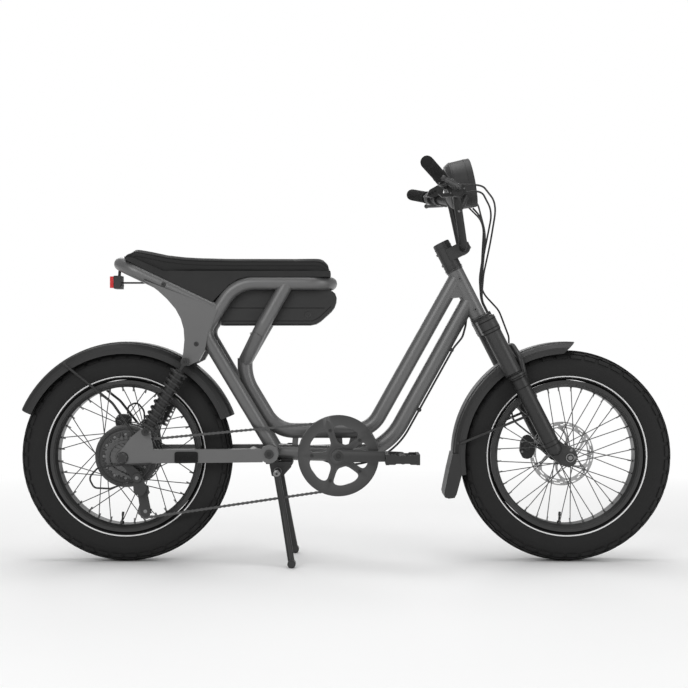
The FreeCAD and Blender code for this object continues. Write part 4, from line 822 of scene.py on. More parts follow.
def make_fork_fittings():
    caps, rings, seals = Build(), Build(), Build()
    for side in (1, -1):
        top = steer(COVER_AHEAD, side * LEG_SIDE, CROWN_TOP)
        caps.turned([(21, -0.5), (21, 2.2), (18.5, 3.6), (13, 3.6),
                     (12.4, 8), (10.6, 9.4), (0, 9.4)], top, HEAD_UP, 36)
        for k in range(10):
            turn = 2 * math.pi * k / 10
            rim = top + (HEAD_FORE * math.cos(turn) + ACROSS * math.sin(turn)) * 12.6 * MM
            caps.tube([rim + HEAD_UP * 4 * MM, rim + HEAD_UP * 8.6 * MM], 1.1, 6)
        for up, reach in ((CROWN_LOW - 1.6, 24.9), (CROWN_LOW + 8, 26.1), (CROWN_TOP - 8, 26.1),
                          (COVER_LOW + 2, 24.3)):
            rings.turned([(22, -1.2), (reach, -1.2), (reach, 1.2), (22, 1.2)],
                         steer(COVER_AHEAD, side * LEG_SIDE, up), HEAD_UP, 48, closed=True)
        for up, reach, high in ((254.5, 25.0, 1.6), (261, 25.4, 2.2), (268.6, 25.0, 1.4), (228, 22.7, 1.6),
                                (52, 22.8, 1.6), (64, 22.6, 1.0)):
            seals.turned([(18, -high), (reach, -high * 0.6), (reach, high * 0.6),
                          (18, high)], steer(LEG_AHEAD, side * LEG_SIDE, up), HEAD_UP, 48, closed=True)
    caps.piece("fork_caps", "black_metal", "steering")
    rings.piece("fork_rings", "grip_rubber", "steering")
    seals.piece("fork_seals", "grip_rubber", "steering")
    places = [(steer(33, y, up), HEAD_FORE) for y in (-58, -34, 58) for up in (411, 433)]
    places += [(steer(52, side * 90.8, up), ACROSS * side) for side in (1, -1) for up in (-6, 17)]
    bolts("crown_bolts", "bolt_steel", "steering", places, 3.4, 2.8)


# Stem, handlebar clamp and headset
def make_stem_fittings():
    rings = Build()
    for up, reach, high in ((447.6, 25.2, 1.4), (452.5, 24.2, 1.2), (596.5, 24.6, 1.4), (600.8, 26.0, 1.0),
                            (604, 25.4, 1.6), (668, 25.0, 1.2), (612, 24.9, 0.9)):
        rings.turned([(20, -high), (reach, -high * 0.7), (reach, high * 0.7),
                      (20, high)], steer(0, 0, up), HEAD_UP, 56, closed=True)
    rings.piece("headset_rings", "black_metal", "steering")
    cap = Build()
    cap.turned([(23, -0.5), (23, 1.6), (21, 3.0), (5, 3.6), (5, 1.5),
                (0, 1.5)], steer(0, 0, 680), HEAD_UP, 40)
    cap.piece("stem_cap", "black_metal", "steering")
    places = [(steer(47.7 + 17.4, y, 641.4 + up), HEAD_FORE) for y in (-17, 17) for up in (-7, 7)]
    places += [(steer(-23.6, 0, up), HEAD_FORE * -1) for up in (622, 655)]
    bolts("stem_bolts", "bolt_steel", "steering", places, 3.2, 3.0)
    seam = Build()
    middle = steer(47.7, 0, 641.4)
    for y in (-26.3, 26.3):
        seam.turned([(11.4, -0.8), (18.2, -0.8), (18.2, 0.8), (11.4, 0.8)],
                    middle + ACROSS * y * MM, ACROSS, 36, closed=True)
    seam.piece("clamp_rings", "black_metal", "steering")


# Grips, levers and the control pods on the bar
RISER_TOP = Vector((298, 90, 1006))
BAR_TIP = Vector((200, 370, 1058))
BAR_OUT = (BAR_TIP - RISER_TOP).normalized()


def on_bar(from_end, side=1, ahead=0.0, up=0.0):
    """Point on a bar end, measured in from its tip, in millimetres; side 1 is the left."""
    place = BAR_TIP - BAR_OUT * from_end
    return spot(place.x + ahead, side * place.y, place.z + up)


def bar_way(side):
    return Vector((BAR_OUT.x, side * BAR_OUT.y, BAR_OUT.z))


def make_grips():
    sleeve = Build()
    for side in (1, -1):
        profile = [(13, 1.0), (17.4, 1.0), (18.2, 2.4), (18.2, 6), (16.4, 8)]
        at = 10.0
        while at < 112:
            profile += [(15.9, at), (17.1, at + 0.8), (17.1, at + 2.6), (15.9, at + 3.4)]
            at += 4.6
        profile += [(16.3, 116), (16.9, 118), (16.9, 122), (15.4, 124)]
        sleeve.turned(profile, on_bar(127, side), bar_way(side), 40)
        sleeve.turned([(12.5, -0.6), (12.5, 0.4), (11.6, 0.8), (0, 0.8)],
                      on_bar(0, side), bar_way(side), 32)
    sleeve.piece("grip_ribs", "grip_rubber", "steering", 26)
    for side, tag in ((1, "left"), (-1, "right")):
        bolts("grip_bolt_" + tag, "bolt_steel", "steering", [(on_bar(123, side, 0, -17.6), (0, 0, -1))], 2.4, 1.6)


def make_levers():
    blade, clamp = Build(), Build()
    for side in (1, -1):
        root = on_bar(154, side, 30, -14)
        way = bar_way(side)
        path = [root + way * out * MM + spot(ahead, 0, -drop)
                for out, ahead, drop in ((0, 10, 4), (30, 15, 9.4), (62, 12.6, 12), (98, 8, 16), (122, 5, 19))]
        blade.tube(path, 5.6, 12, taper=[0.9, 1.06, 1.02, 0.96, 0.98])
        blade.turned([(3, -7), (6.4, -4), (7.2, 0), (6.4, 4), (3, 7)],
                     path[-1] + way * 3 * MM, way, 20)
        clamp.turned([(16.5, -11.6), (18.4, -10), (18.4, -1.5), (17.6, -0.6),
                      (17.6, 0.6), (18.4, 1.5), (18.4, 10), (16.5, 11.6)],
                     on_bar(154, side), way, 40)
        master = root + spot(-2, 0, 1)
        clamp.turned([(8.6, -22), (10.4, -20), (10.4, 18), (8.6, 20)],
                     master, way, 28)
        clamp.turned([(6, -6.5), (7.4, -5), (7.4, 5), (6, 6.5)],
                     root + spot(12, 0, -5), (0.2, 0, 1), 20)
    blade.piece("lever_blades", "black_metal", "steering", 40)
    clamp.piece("lever_clamps", "black_metal", "steering")
    places = []
    for side in (1, -1):
        places += [(on_bar(154, side, -18, 4) + bar_way(side) * k * 6 * MM, (-1, 0, 0.2)) for k in (-1, 1)]
        places += [(on_bar(154, side, 42, -12.2), (0.2, 0, 1))]
    bolts("lever_bolts", "bolt_steel", "steering", places, 2.2, 2.0)


POD_AT = 203


def make_pods():
    pod = on_bar(POD_AT, 1)
    slope = Vector((32, 0, 18)).normalized()
    lift = Vector((-18, 0, 32)).normalized()
    middle = pod + spot(-10, 0, 33)
    screen = Build()

    def on_face(u, v, w):
        return middle + slope * u + ACROSS * v + lift * w
    screen.prism(rounded_box(13, 18, 4), -0.6, 0.7, on_face)
    screen.piece("display_glass", "screen_glass", "steering")
    frame_lines = Build()
    rim = rounded_box(15, 20, 5, 5)
    frame_lines.tube([on_face(u * MM, v * MM, 0.2 * MM) for u, v in rim], 1.1, 8, closed=True)
    frame_lines.piece("display_rim", "black_plastic", "steering")
    keys = Build()
    for k in range(3):
        centre = pod + spot(-24 + 8 * k, -22, 14 + 4 * k)
        keys.turned([(3.2, -1), (3.2, 1.2), (2.4, 2.0), (0, 2.0)],
                    centre, ACROSS * -1, 18)
    keys.piece("display_keys", "grip_rubber", "steering")
    band = Build()
    for side in (1, -1):
        for shift in (-11, 11):
            band.turned([(14, -1.6), (16, -1.0), (16, 1.0), (14, 1.6)],
                        on_bar(POD_AT + shift, side), bar_way(side), 36, closed=True)
    band.piece("pod_bands", "black_plastic", "steering")
    right = on_bar(POD_AT, -1)
    dial = Build()
    dial.turned([(15, -1), (15, 1.0), (13.6, 2.2), (5, 2.2), (4.4, 1.4),
                 (0, 1.4)], right + spot(26, -16, -17), ACROSS * -1, 36)
    dial.piece("shifter_cap", "black_plastic", "steering")
    bolts("pod_bolts", "bolt_steel", "steering",
          [(right + spot(44, -16.2, -12), ACROSS * -1), (right + spot(8, -16.2, -24), ACROSS * -1),
           (pod + spot(6, 22.2, 24), ACROSS), (pod + spot(-20, 22.2, 16), ACROSS)], 1.8, 1.2)


# Headlight: bezel, stepped reflector, three lamps and a thin domed lens
LAMP_CENTRE = spot(350, 0, 1050)
LAMP_AXIS = Vector((math.cos(math.radians(11)), 0, math.sin(math.radians(11))))
LAMP_UP = Vector((-LAMP_AXIS.z, 0, LAMP_AXIS.x))


def make_headlight():
    bezel = Build()
    bezel.turned([(59.8, -3.2), (59.8, 0.6), (61.4, 2.0), (65.6, 1.6),
                  (67.6, 0.0), (67.9, -2.0), (66, -3.2)], LAMP_CENTRE, LAMP_AXIS, 96, closed=True)
    bezel.turned([(66.4, -16.6), (68.7, -15.6), (68.7, -13.4), (66.4, -12.4)],
                 LAMP_CENTRE, LAMP_AXIS, 96, closed=True)
    bezel.turned([(64, -56.5), (67, -55.2), (67.2, -53.4), (64.6, -52)],
                 LAMP_CENTRE, LAMP_AXIS, 96, closed=True)
    bezel.piece("lamp_bezel", "black_plastic", "steering")
    bowl = Build()
    profile = [(60, -0.5)]
    for k in range(7):
        radius = 58 - 5.2 * k
        depth = -0.9 - 0.5 * k
        profile += [(radius, depth - 0.1), (radius - 4.4, depth - 0.9)]
    profile += [(20, -4.3), (0, -4.3)]
    bowl.turned(profile, LAMP_CENTRE, LAMP_AXIS, 72)
    bowl.piece("lamp_reflector", "lamp_mirror", "steering", 14)
    lamps = Build()
    for k in range(3):
        turn = math.radians(90 + 120 * k)
        centre = LAMP_CENTRE + (LAMP_UP * math.sin(turn) + ACROSS * math.cos(turn)) * 24 * MM
        lamps.turned([(9, -4.4), (9, -2.2), (6.4, -0.2), (0, 0.9)],
                     centre, LAMP_AXIS, 28)
    lamps.piece("lamp_modules", "lamp_led", "steering")
    lens = Build()
    lens.turned([(60.5, 0.5), (56, 1.9), (44, 3.8), (24, 5.4), (0, 5.95)],
                LAMP_CENTRE, LAMP_AXIS, 72)
    lens.open_ends()
    item = lens.piece("lamp_lens", "lamp_glass", "steering", 60)
    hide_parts("headlight_lens")
    places = [(spot(306, side * 91.4, 962), ACROSS * side) for side in (1, -1)]
    places = [(place - axis * 1.2 * MM, axis) for place, axis in places]
    bolts("lamp_bolts", "bolt_steel", "steering", places, 2.8, 1.0)


# Calipers: two halves joined over the disc, their arm, caps and bolts
CALIPERS = [
    # name, body, outer face, outline of both halves, bridge over the disc, arm to the mount, middle of the caps
    ("front", "steering", 62,
     [(488, 300), (491, 326), (500, 342), (514, 346), (524, 338), (531, 322), (532, 300), (525, 284), (512, 276.5),
      (498, 279)],
     [(488, 300), (491, 326), (500, 342), (508, 344), (513, 322), (514.3, 300), (514, 286), (506, 279), (498, 279)],
     [(504, 334), (540, 333), (556, 331), (558, 320), (548, 312), (508, 312)], (509, 312)),
    ("rear", "frame", 66,
     [(-650, 372), (-652, 388), (-645, 401), (-632, 404), (-614, 402), (-606.5, 392), (-608, 374), (-618, 363),
      (-638, 362.5)],
     [(-651, 380), (-651.5, 388), (-645, 401), (-632, 404), (-614, 402), (-606.5, 392), (-607, 385), (-630, 383)],
     [(-628, 366), (-600, 366), (-594, 356), (-594, 322), (-626, 322)], (-629, 383)),
]


def make_calipers():
    for name, body, face, outline, bridge, arm, (middle_x, middle_z) in CALIPERS:
        shell = Build()
        halves = rounded(outline, 5, 2)
        centre = Vector((middle_x, middle_z))
        for near, far in ((48.8, 43), (53.2, face)):
            bevel = math.copysign(2.0, far - near)
            rows = [[spot(u, depth, v) for u, v in (centre + (Vector(point) - centre) * share for point in halves)]
                    for depth, share in ((near, 1.0), (far - bevel, 1.0), (far, 0.93))]
            base = shell.grid(rows)
            shell.cap(base, len(halves), True)
            shell.cap(base + 2 * len(halves), len(halves))
        for flat, low, high in ((bridge, 48.6, 53.4), (arm, face - 4, max(face, 66))):
            shell.prism(rounded(flat, 2.5, 2), low, high)
        item = shell.piece(name + "_caliper_shell", "bar_black", body)
        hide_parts(name + "_caliper")
        cover = Build()
        for side, y in ((1, face), (-1, 43)):
            cover.turned([(13, -1), (13, 1.0), (11, 2.4), (4.5, 2.4),
                          (4.5, 1.0), (0, 1.0)], spot(middle_x, y, middle_z), ACROSS * side, 32)
        cover.piece(name + "_caliper_caps", "black_metal", body)
        corners = ((-14, -14), (14, -14), (-14, 14), (14, 14))
        places = [(spot(middle_x + dx, face, middle_z + dz), ACROSS) for dx, dz in corners]
        places += [(spot(middle_x + dx, 43, middle_z + dz), ACROSS * -1) for dx, dz in corners[::2]]
        bolts(name + "_caliper_bolts", "bolt_steel", body, places, 2.4, 2.2)


# Shock springs as wound wire
SHOCK_TOP = Vector((-437.2, 0, 553)) * MM
SHOCK_FOOT = Vector((-543.4, 0, 363.1)) * MM
SHOCK_SIDE = 102.8 * MM
SPRING_LOW, SPRING_HIGH = 22 * MM, (SHOCK_TOP - SHOCK_FOOT).length - 38 * MM
WIRE = 3.4
SPRING_MEAN = 19.6 * MM
SPRING_TURNS = 9.5


def make_springs():
    up = (SHOCK_TOP - SHOCK_FOOT).normalized()
    ahead = up.cross(ACROSS)
    for side, tag in ((1, "left"), (-1, "right")):
        steps = int(SPRING_TURNS * 22)
        path = []
        for k in range(steps + 1):
            share = k / steps
            turn = share * SPRING_TURNS * 2 * math.pi
            squeezed = share - 0.035 * math.sin(2 * math.pi * share)
            rise = SPRING_LOW + WIRE * MM + (SPRING_HIGH - SPRING_LOW - 2 * WIRE * MM) * squeezed
            spot = ahead * math.cos(turn) + ACROSS * math.sin(turn)
            path.append(SHOCK_FOOT + ACROSS * side * SHOCK_SIDE + up * rise + spot * SPRING_MEAN)
        build = Build()
        build.tube(path, WIRE, 9)
        item = build.piece("shock_coil_" + tag, "black_metal", "frame", 60)
        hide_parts("shock_springs")


# Chain: inner and outer links along the belt round ring, sprocket and pulleys
CHAIN_PLANE = -70
INNER_PLATE, OUTER_PLATE = 1.75, 2.55
PLATE_HALF = 4.0
PLATE_THICK = 0.75
CHAIN_WHEELS = [
    # centre, radius, way round
    (BRACKET, RING_RADIUS * MM, 1), (REAR, 42 * MM, 1),
    (Vector((-559, 0, 199)) * MM, 18 * MM, -1), (Vector((-548, 0, 145)) * MM, 18 * MM, 1),
]


def belt_points(wheels, spacing):
    """Evenly spaced points on the closed path round wheels, in the side view."""
    lines = []
    for (a, ra, sa), (b, rb, sb) in zip(wheels, wheels[1:] + wheels[:1]):
        gap = Vector((b.x - a.x, b.z - a.z))
        heading = math.atan2(gap.y, gap.x) - math.asin((rb * sb - ra * sa) / gap.length)
        left = Vector((-math.sin(heading), math.cos(heading)))
        lines.append((Vector((a.x, a.z)) - left * ra * sa, Vector((b.x, b.z)) - left * rb * sb))
    fine = []
    for k, (centre, radius, sense) in enumerate(wheels):
        arrive, leave = lines[k - 1][1], lines[k][0]
        middle = Vector((centre.x, centre.z))
        first = math.atan2(*reversed(arrive - middle))
        last = math.atan2(*reversed(leave - middle))
        while (last - first) * sense < 0:
            last += sense * 2 * math.pi
        for step in range(60):
            turn = first + (last - first) * step / 60
            fine.append(middle + Vector((math.cos(turn), math.sin(turn))) * radius)
        fine += [leave.lerp(lines[k][1], step / 40) for step in range(40)]
    lengths = [(fine[(k + 1) % len(fine)] - fine[k]).length for k in range(len(fine))]
    total = sum(lengths)
    count = 2 * round(total / spacing / 2)
    result, at, passed = [], 0, 0.0
    for k in range(count):
        target = k * total / count
        while passed + lengths[at] < target:
            passed += lengths[at]
            at += 1
        result.append(fine[at].lerp(fine[(at + 1) % len(fine)], (target - passed) / lengths[at]))
    return result


def link_outline(a, b, half):
    """Waisted outline of one link plate between two pins."""
    along = (b - a).normalized()
    left = Vector((-along.y, along.x))
    outline = []
    for pin, sense in ((b, 1), (a, -1)):
        for step in range(6):
            turn = math.radians(-75 + 30 * step)
            outline.append(pin + (along * math.cos(turn) + left * math.sin(turn)) * half * sense)
        outline.append((a + b) / 2 + left * sense * half * 0.62)
    return outline


def make_chain():
    pins = belt_points(CHAIN_WHEELS, CHAIN_PITCH * MM)
    build = Build()
    for k, pin in enumerate(pins):
        after = pins[(k + 1) % len(pins)]
        offset = INNER_PLATE if k % 2 else OUTER_PLATE
        outline = [point / MM for point in link_outline(pin, after, PLATE_HALF * MM)]
        for side in (1, -1):
            near = CHAIN_PLANE + side * offset
            build.prism(outline, near, near + side * PLATE_THICK)
        middle = (pin.x, CHAIN_PLANE * MM, pin.y)
        build.turned([(3.6, -1.6), (3.6, 1.6)], middle, sides=10)
        build.turned([(1.7, -3.7), (1.7, 3.7)], middle, sides=8)
    item = build.piece("chain_links", "chain_steel", "frame", 40)
    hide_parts("chain")


# Shocks: spring seats, preload rings and eye bolts
def make_shock_fittings():
    up = (SHOCK_TOP - SHOCK_FOOT).normalized()
    length = (SHOCK_TOP - SHOCK_FOOT).length
    rings = Build()
    for side in (1, -1):
        foot = SHOCK_FOOT + ACROSS * side * SHOCK_SIDE
        for at, reach, high in ((18.5, 24.6, 1.0), (21, 24.6, 0.8), (length / MM - 36, 24.6, 0.9),
                                (length / MM - 33.6, 24.4, 0.8), (length / MM - 29, 12, 2.2)):
            rings.turned([(7, -high), (reach, -high * 0.7), (reach, high * 0.7),
                          (7, high)], foot + up * at * MM, up, 40, closed=True)
        for k in range(8):
            turn = 2 * math.pi * k / 8
            ahead = up.cross(ACROSS)
            rim = foot + (ahead * math.cos(turn) + ACROSS * math.sin(turn)) * 24.4 * MM
            rings.tube([rim + up * (length - 36.4 * MM), rim + up * (length - 33.2 * MM)], 1.3, 6)
    rings.piece("shock_rings", "black_metal", "frame")
    places = []
    for side in (1, -1):
        places += [(end + ACROSS * side * (SHOCK_SIDE + 8 * MM), ACROSS * side) for end in (SHOCK_TOP, SHOCK_FOOT)]
    bolts("shock_bolts", "black_metal", "frame", places, 5.6, 4.0)


# Frame: screws, pivot and axle hardware, weld beads at the tube joints
def bead(build, path, radius=1.7):
    """Weld bead: a string of small overlapping ripples."""
    fine = []
    for first, second in zip(path, path[1:]):
        gap = (second - first).length
        steps = max(1, round(gap / (2.1 * MM)))
        fine += [first.lerp(second, k / steps) for k in range(steps)]
    fine.append(path[-1])
    taper = [1.0 if k % 2 else 0.74 for k in range(len(fine))]
    build.tube(fine, radius, 7, taper=taper)


def ring_path(centre, axis, radius, steps=36):
    side = axis.orthogonal().normalized()
    up = axis.cross(side)
    return [centre + (side * math.cos(turn) + up * math.sin(turn)) * radius * MM
            for turn in (2 * math.pi * k / steps for k in range(steps + 1))]


def make_frame_fittings():
    places = []
    for side in (1, -1):
        places += [(spot(-498, side * 80.6, 763), ACROSS * side)]
        places += [(spot(-408.6, side * 83.6, 601), ACROSS * side)]
    bolts("gusset_screws", "black_metal", "frame", places, 5.4, 3.2)
    side_pair("pivot_caps", "black_metal", "frame",
              [(12.8, 0), (12.8, 1.4), (11, 2.6), (6, 2.6), (6, 0.6), (0, 0.6)], PIVOT, 97, 32)
    nuts = Build()
    for side in (1, -1):
        nuts.turned([(12.4, 0), (14.4, 0.6), (14.4, 7.0), (12.6, 8.6), (7.2, 8.6)],
                    REAR + ACROSS * side * 94.5 * MM, ACROSS * side, 6)
        nuts.turned([(16.5, -0.2), (16.5, 1.6)], REAR + ACROSS * side * 94.6 * MM, ACROSS * side, 40)
    nuts.piece("axle_nuts", "black_metal", "frame", 24)
    side_pair("front_axle_caps", "black_metal", "steering",
              [(11.5, -0.5), (11.5, 1.4), (9.4, 2.6), (5, 2.6), (5, 0.8), (0, 0.8)], FRONT, 91.4, 28)
    cups = Build()
    for side in (1, -1):
        cups.turned([(22, 0), (24.6, 0), (24.6, 4.5), (22.4, 6), (14, 6)],
                    BRACKET + ACROSS * side * 50 * MM, ACROSS * side, 48)
        cups.open_ends()
        for k in range(8):
            turn = 2 * math.pi * k / 8
            place = BRACKET + ACROSS * side * 52.4 * MM + spot(24.3 * math.cos(turn), 0, 24.3 * math.sin(turn))
            cups.tube([place - ACROSS * 2 * MM, place + ACROSS * 2 * MM], 1.4, 6)
    cups.piece("bracket_cups", "black_metal", "frame")
    welds = Build()
    head = [steer(0, 0, up) for up in (449.5, 598.5)]
    for centre in head:
        bead(welds, ring_path(centre, HEAD_UP, 23.2, 48), 0.9)
    for side in (1, -1):
        along = Vector((0.42, -side * 0.3, 0.86)).normalized()
        bead(welds, ring_path(spot(-246.5, side * 58.6, 622), along, 19.2, 40), 1.0)
    welds.piece("weld_beads", "frame_paint", "frame", 60)


# Swingarm: the rubber chain guard with its three recesses
def make_arm_guard():
    build = Build()
    build.prism(rounded([(-466.2, 277.4), (-403, 278.4), (-403, 306.6), (-409, 308.8), (-460, 308.8),
                         (-466.2, 306.2)], 5, 4), -94.3, -97.4)
    for x in (-456, -434.6, -413.4):
        build.turned([(8.4, 0), (8.4, 1.3), (7.4, 2.0), (6.2, 2.0), (5.6, 0.4),
                      (0, 0.4)], spot(x, -97.3, 293), ACROSS * -1, 28)
    build.piece("chain_guard_block", "grip_rubber", "frame")


# Cable clips on the lower spine
def make_clips():
    clips = Build()
    for x, z in ((292.6, 584.5), (202.6, 418)):
        along = Vector((0.485, 0, 0.8745))
        out = Vector((0.8745, 0, -0.485))
        base = spot(x, 0, z)
        clips.prism(rounded_box(7, 5, 2.5), -4.6, 4.2, lambda u, v, w: base + along * v + ACROSS * u + out * w)
        clips.turned([(3.2, 0), (3.2, 1.6), (2.2, 2.2), (0, 2.2)], base + out * 4.1 * MM, out, 18)
    clips.piece("cable_clips", "black_plastic", "frame")


# Battery: seams, key lock and charge port
def make_battery_fittings():
    seams, lock, port = Build(), Build(), Build()
    for side in (1, -1):
        y = side * 40.2
        path = [spot(-340, y, 664), spot(-94, y, 664.4), spot(-76, y, 673), spot(-42, y, 705)]
        seams.tube(path, 0.9, 8)
        seams.tube([spot(-330, y, 700), spot(-60, y, 700)], 0.9, 8)
        seams.tube([spot(-334, y, 655), spot(-96, y, 655.4)], 1.2, 8)
    seams.piece("battery_seams", "grip_rubber", "frame")
    lock.turned([(8.4, -1), (8.4, 1.2), (7.2, 2.0), (5.2, 2.0), (5.0, 1.0),
                 (0, 1.0)], spot(-106, -40, 682), ACROSS * -1, 32)
    lock.prism([(-106.7, 678.6), (-105.3, 678.6), (-105.3, 685.4), (-106.7, 685.4)], -41.2, -40.6)
    lock.piece("battery_lock", "black_metal", "frame")
    port.prism([(u - 150, v + 682) for u, v in rounded_box(11, 8, 5, 4)], 39.8, 42)
    port.tube([spot(-163, 41.2, 690), spot(-166, 42.2, 682), spot(-163, 41.2, 674)], 1.3, 8)
    port.piece("charge_cover", "grip_rubber", "frame")


# Tail light: rim, upright bars on the lens and the bracket's bolts
def make_taillight():
    rim = Build()
    outline = rounded_box(25.6, 16.6, 4, 5)
    rim.tube([spot(-642.6, u, 772 + v) for u, v in outline], 1.4, 8, closed=True)
    rim.piece("tail_rim", "black_plastic", "frame")
    bars = Build()
    for k in range(9):
        y = -20 + 5 * k
        bars.tube([spot(-653.2, y, 760), spot(-653.6, y, 772), spot(-653.2, y, 784)], 1.1, 8)
    bars.piece("tail_bars", "tail_red", "frame")
    bolts("tail_bolts", "black_metal", "frame", [(spot(-623.8, y, 764), (1, 0, 0)) for y in (-16, 16)], 2.6, 1.8)


# Fenders: rolled edges, side ribs and rivets
def make_fender_fittings():
    # The front fender's slanted end makes its lower lines start later.
    for body, hub, starts, last, name in (("frame", REAR, (21.4, 21.8, 21.8), 156, "rear"),
                                          ("steering", FRONT, (92.8, 90.2, 87.2), 188, "front")):
        trim = Build()
        for side in (1, -1):
            for first, high, out, radius in zip(starts, (283.4, 296, 313.2), (56.9, 57.7, 38.0), (1.5, 1.1, 1.2)):
                trim.tube(arc_path(hub, first, last - 0.6, high, side * out, 70), radius, 8)
        trim.piece(name + "_fender_trim", "black_plastic", body, 50)
        rivets = Build()
        angle = 123 if body == "frame" else 173
        for side in (1, -1):
            rivets.turned([(4.4, -1), (4.4, 0.6), (3.0, 2.0), (0, 2.4)],
                          on_wheel(hub, angle, 303.5, side * 57.4), ACROSS * side, 20)
        rivets.piece(name + "_fender_rivets", "black_metal", body)


# Stand: treads on the feet, knobs and washers at the pivot
STAND_HIGH = 250
STAND_LEAN = math.radians(10)
FOOT_RADIUS = 11


def make_stand_fittings():
    pivot = spot(-189.5, 0, STAND_HIGH)
    lean = Vector((math.sin(STAND_LEAN), 0, -math.cos(STAND_LEAN)))
    reach = (STAND_HIGH - FOOT_RADIUS) / math.cos(STAND_LEAN)
    feet = Build()
    for side in (1, -1):
        centre = pivot + lean * reach * MM + ACROSS * side * 130 * MM
        for shift in (-8, -3, 2, 7):
            feet.turned([(9, -1.2), (10.98, -1.0), (10.98, 1.0), (9, 1.2)],
                        centre + ACROSS * shift * MM, ACROSS, 32, closed=True)
    feet.piece("stand_treads", "grip_rubber", "stand")
    side_pair("stand_knobs", "bolt_steel", "stand",
              [(9, -2), (9.6, 0), (8.6, 2.4), (4.6, 3.4), (4.2, 1.6), (0, 1.6)], pivot, 94, 24)
    side_pair("stand_washers", "bolt_steel", "frame",
              [(11, 0), (11, 1.6), (9.4, 1.6), (9.4, 0)], pivot, 37.5, 32, closed=True)


# Pedals: core with its end plates, toothed grip rails and reflectors
def make_pedals():
    for name, body, middle_x, side in (("right", "pedal_right_body", 148, -1), ("left", "pedal_left_body", -192, 1)):
        middle = spot(middle_x, side * 169.5, 297)

        def beside(u, v, w):
            return middle + Vector((u, w, v))
        core = Build()
        outline = rounded_box(37, 9, 5)
        for low, high in ((-46, -34), (-6, 6), (34, 46)):
            core.prism(outline, low, high, beside)
        plate = rounded([(-44, -13), (-20, -13), (-18, -10.5), (18, -10.5), (20, -13), (44, -13), (44, 13), (20, 13),
                         (18, 10.5), (-18, 10.5), (-20, 13), (-44, 13)], 2.5, 2)
        for low, high in ((-47.3, -44.5), (44.5, 47.3)):
            core.prism(plate, low, high, beside)
        core.turned([(10, -47), (12, -45.5), (12, 45.5), (10, 47)], middle, ACROSS, 32)
        core.turned([(7.6, 45), (9, 46.8), (0, 47.2)], middle, ACROSS * side, 24)
        rail = Build()
        for ahead in (1, -1):
            teeth = [(-47.5, -13.6)]
            for k in range(12):
                low = -47.5 + 95 * k / 12
                teeth += [(low + 1.2, -13.9), (low + 5.6, -13.9), (low + 6.4, -11.6), (low + 7.4, -11.6)]
            profile = teeth + [(47.5, -11.6)]
            top = [(u, -v) for u, v in reversed(profile)]
            rail.prism(rounded(profile + top, 0.8, 2), 0, 9,
                       lambda u, v, w: middle + Vector((ahead * (45 * MM - w), u, v)))
        rail_item = rail.piece("pedal_rails_" + name, "black_plastic", body, 30)
        core_item = core.piece("pedal_core_" + name, "black_plastic", body)
        amber = Build()
        for ahead in (1, -1):
            amber.prism(rounded_box(14, 5, 2), 44.6, 45.0, lambda u, v, w: middle + Vector((ahead * w, u, v)))
        amber.piece("pedal_reflectors_" + name, "amber", body)
        for item in (rail_item, core_item):
            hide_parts("pedal_" + name)


# Derailleur: toothed pulleys, bolts, cover and barrel adjuster
def make_derailleur_fittings():
    wheels = Build()
    for x, z in ((-559, 199), (-548, 145)):
        flat_wheel(wheels, spot(x, 0, z), toothed(17.6, 11, 4.6), -71.2, -68.8, 4)
    wheels.piece("pulley_teeth", "black_plastic", "frame", 28)
    places = [(spot(x, -78, z), ACROSS * -1) for x, z in ((-559, 199), (-548, 145))]
    places += [(spot(-568, -100.4, 238), ACROSS * -1)]
    bolts("derailleur_bolts", "bolt_steel", "frame", places, 4.0, 1.8)
    body = Build()
    body.turned([(12.2, -3), (13.2, -1.5), (13.2, 4), (11.6, 5.6)],
                spot(-568, -94, 238), ACROSS * -1, 36)
    outline = rounded([(-582, 246), (-558, 252), (-541, 206), (-556, 187), (-577, 195)], 8, 4)
    body.prism(outline, -90, -92.6)
    body.piece("derailleur_cover", "black_metal", "frame")
    barrel = Build()
    barrel.turned([(3.2, 0), (4.4, 1), (4.4, 9), (3.2, 10), (3.0, 15)],
                  spot(-590, -98, 226.5), Vector((-1, 0, -0.32)), 16)
    barrel.piece("barrel_adjuster", "black_metal", "frame")


# Seat: piping round the top panel, laid on the cover by rays from outside
def make_piping(pad):
    mesh = pad.data
    tree = BVHTree.FromPolygons([pad.matrix_world @ vert.co for vert in mesh.vertices],
                                [tuple(face.vertices) for face in mesh.polygons])
    for name, drop in (("upper", 9.0), ("lower", 20.0)):
        path = []
        stations = [-592 + 6 * k for k in range(91)]
        for side in (1, -1):
            row = []
            for x in stations if side > 0 else reversed(stations):
                top = tree.ray_cast(spot(x, 0, 1000), Vector((0, 0, -1)))[0]
                if top is None:
                    continue
                hit = tree.ray_cast(Vector((x * MM, side * 200 * MM, top.z - drop * MM)), ACROSS * -side)[0]
                if hit is not None and abs(hit.y) > 40 * MM:
                    row.append(hit)
            path += row
        build = Build()
        build.tube(path, 1.5 if name == "upper" else 0.9, 7, closed=True)
        build.piece("seat_piping_" + name, "grip_rubber", "frame", 60)


